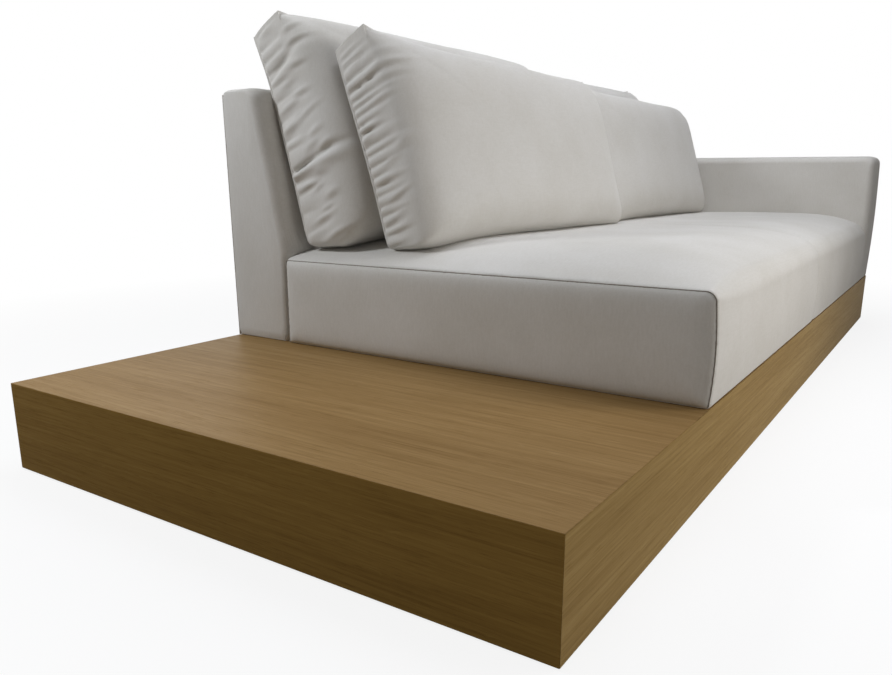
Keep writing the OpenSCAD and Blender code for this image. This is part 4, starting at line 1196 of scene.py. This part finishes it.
for cushion_name, cushion_facts in CUSHIONS.items():
    cushion = Cushion(cushion_name, **cushion_facts)
    make_cushion(cushion)
    make_zip(cushion)


# The stage: a pale floor, soft light from above and the photograph's viewpoint

# Places and sizes are in metres: where each light stands, what it aims at, its size, watts and colour
LIGHTS = {
    "front_key": ((0.0, -2.1, 0.95), (-1.35, -0.5, 0.25), 0.7, 18, (1.0, 0.99, 0.975)),
    "low_front": ((-0.8, -2.1, 0.35), (-0.8, -0.575, 0.1), 0.6, 4.5, (1.0, 0.98, 0.95)),
    "overhead": ((0.2, -0.2, 2.8), (0.1, 0.0, 0.3), 2.0, 38, (0.93, 0.97, 1.06)),
    "left_fill": ((-1.9, 1.2, 1.6), (-0.8, 0.4, 0.85), 0.4, 18.5, (0.94, 0.98, 1.04)),
    "right_fill": ((3.4, 0.3, 0.8), (1.39, 0.0, 0.4), 1.2, 16, (1.0, 1.0, 1.0)),
    "side_fill": ((-2.7, -1.0, 0.6), (-1.2, -0.3, 0.3), 0.5, 2.2, (1.0, 0.99, 0.97)),
    "rear_fill": ((1.2, 3.2, 2.2), (0.3, 0.4, 0.4), 1.6, 17, (1.0, 1.0, 1.0)),
}
WHITE = (1, 1, 1, 1)
GLOW_BELOW, GLOW_ABOVE = (0.030, 0.027, 0.022, 1), (0.17, 0.174, 0.18, 1)
FLOOR_REACH = 40
FLOOR_PAINT, FLOOR_LIGHT = (0.93, 0.93, 0.93, 1), (0.22, 0.20, 0.18, 1)

# The camera that was fitted to the photograph, with its focal length in pixels
PICTURE_WIDTH = 892
FOCAL_LENGTH = 777.8
SENSOR_WIDTH = 36
SHIFT = (-0.0057, 0.0341)
VIEWPOINT = (-2.1168, -0.9035, 0.5573)
VIEW_WAY, SIDE_WAY = (0.81017, 0.53473, -0.2402), (0.55138, -0.83425, 0.00256)


def light(name, place, aim, size, watts, colour):
    """A round area light."""
    data = bpy.data.lights.new(name, "AREA")
    data.shape = "DISK"
    data.size = size
    data.energy = watts
    data.color = colour
    lamp = linked(name, data)
    lamp.location = place
    lamp.rotation_euler = (Vector(aim) - Vector(place)).to_track_quat("-Z", "Y").to_euler()


def shown(f, output, shed, seen):
    """Gives a backdrop one look for the light that it sheds, and another where it is seen itself."""
    rays = [f.node("ShaderNodeLightPath", output=n) for n in (
        "Is Camera Ray", "Is Glossy Ray", "Is Transmission Ray")]
    direct = rays[0].math("MAXIMUM", rays[1]).math("MAXIMUM", rays[2])
    f.node(output, None, {"Surface": f.node("ShaderNodeMixShader", None, {0: direct, 1: shed, 2: seen})})


def backdrop():
    """White where it is seen, with a faint glow that comes more from above."""
    world = bpy.data.worlds.new("studio")
    bpy.context.scene.world = world
    f = Finish("studio", world)
    way = f.node("ShaderNodeTexCoord", output="Generated")
    height = f.band(f.node("ShaderNodeSeparateXYZ", None, {"Vector": way}, output=2), 0.0, 1.0)
    ambient, white = (f.node("ShaderNodeBackground", None, {"Color": colour, "Strength": 1.0})
                      for colour in (f.mix(height, GLOW_BELOW, GLOW_ABOVE), WHITE))
    shown(f, "ShaderNodeOutputWorld", ambient, white)


def make_floor():
    """A floor that takes shadows near the sofa and fades to white further out."""
    mesh = bpy.data.meshes.new("floor")
    edges = [(FLOOR_REACH * x, FLOOR_REACH * y, 0) for x, y in ((-1, -1), (1, -1), (1, 1), (-1, 1))]
    mesh.from_pydata(edges, [], [(0, 1, 2, 3)])
    f = Finish("floor")
    reach = f.node("ShaderNodeVectorMath", {"operation": "LENGTH"}, {
        0: f.node("ShaderNodeTexCoord", output="Object")}, output=1)
    pale = f.node("ShaderNodeMixShader", None, {
        0: f.band(reach, 1.4, 2.8) * 0.15 + 0.85,
        1: f.node("ShaderNodeBsdfDiffuse", None, {"Color": FLOOR_PAINT}),
        2: f.node("ShaderNodeEmission", None, {"Color": WHITE, "Strength": 1.0})})
    shed = f.node("ShaderNodeBsdfDiffuse", None, {"Color": FLOOR_LIGHT})
    shown(f, "ShaderNodeOutputMaterial", shed, pale)
    mesh.materials.append(f.owner)
    return linked("floor", mesh)


def make_camera():
    """The photograph's viewpoint."""
    data = bpy.data.cameras.new("camera")
    data.sensor_fit = "HORIZONTAL"
    data.sensor_width = SENSOR_WIDTH
    data.lens = FOCAL_LENGTH / PICTURE_WIDTH * SENSOR_WIDTH
    data.shift_x, data.shift_y = SHIFT
    data.clip_start = 0.05
    ahead, aside = Vector(VIEW_WAY).normalized(), Vector(SIDE_WAY)
    aside = (aside - ahead * aside.dot(ahead)).normalized()
    turned = Matrix((aside, aside.cross(ahead), -ahead)).transposed()
    viewer = linked("camera", data)
    viewer.matrix_world = Matrix.Translation(VIEWPOINT) @ turned.to_4x4()
    return viewer


backdrop()
floor = make_floor()
for light_name, light_facts in LIGHTS.items():
    light(light_name, *light_facts)
bpy.context.scene.camera = make_camera()
bpy.context.scene.view_settings.view_transform = "Standard"
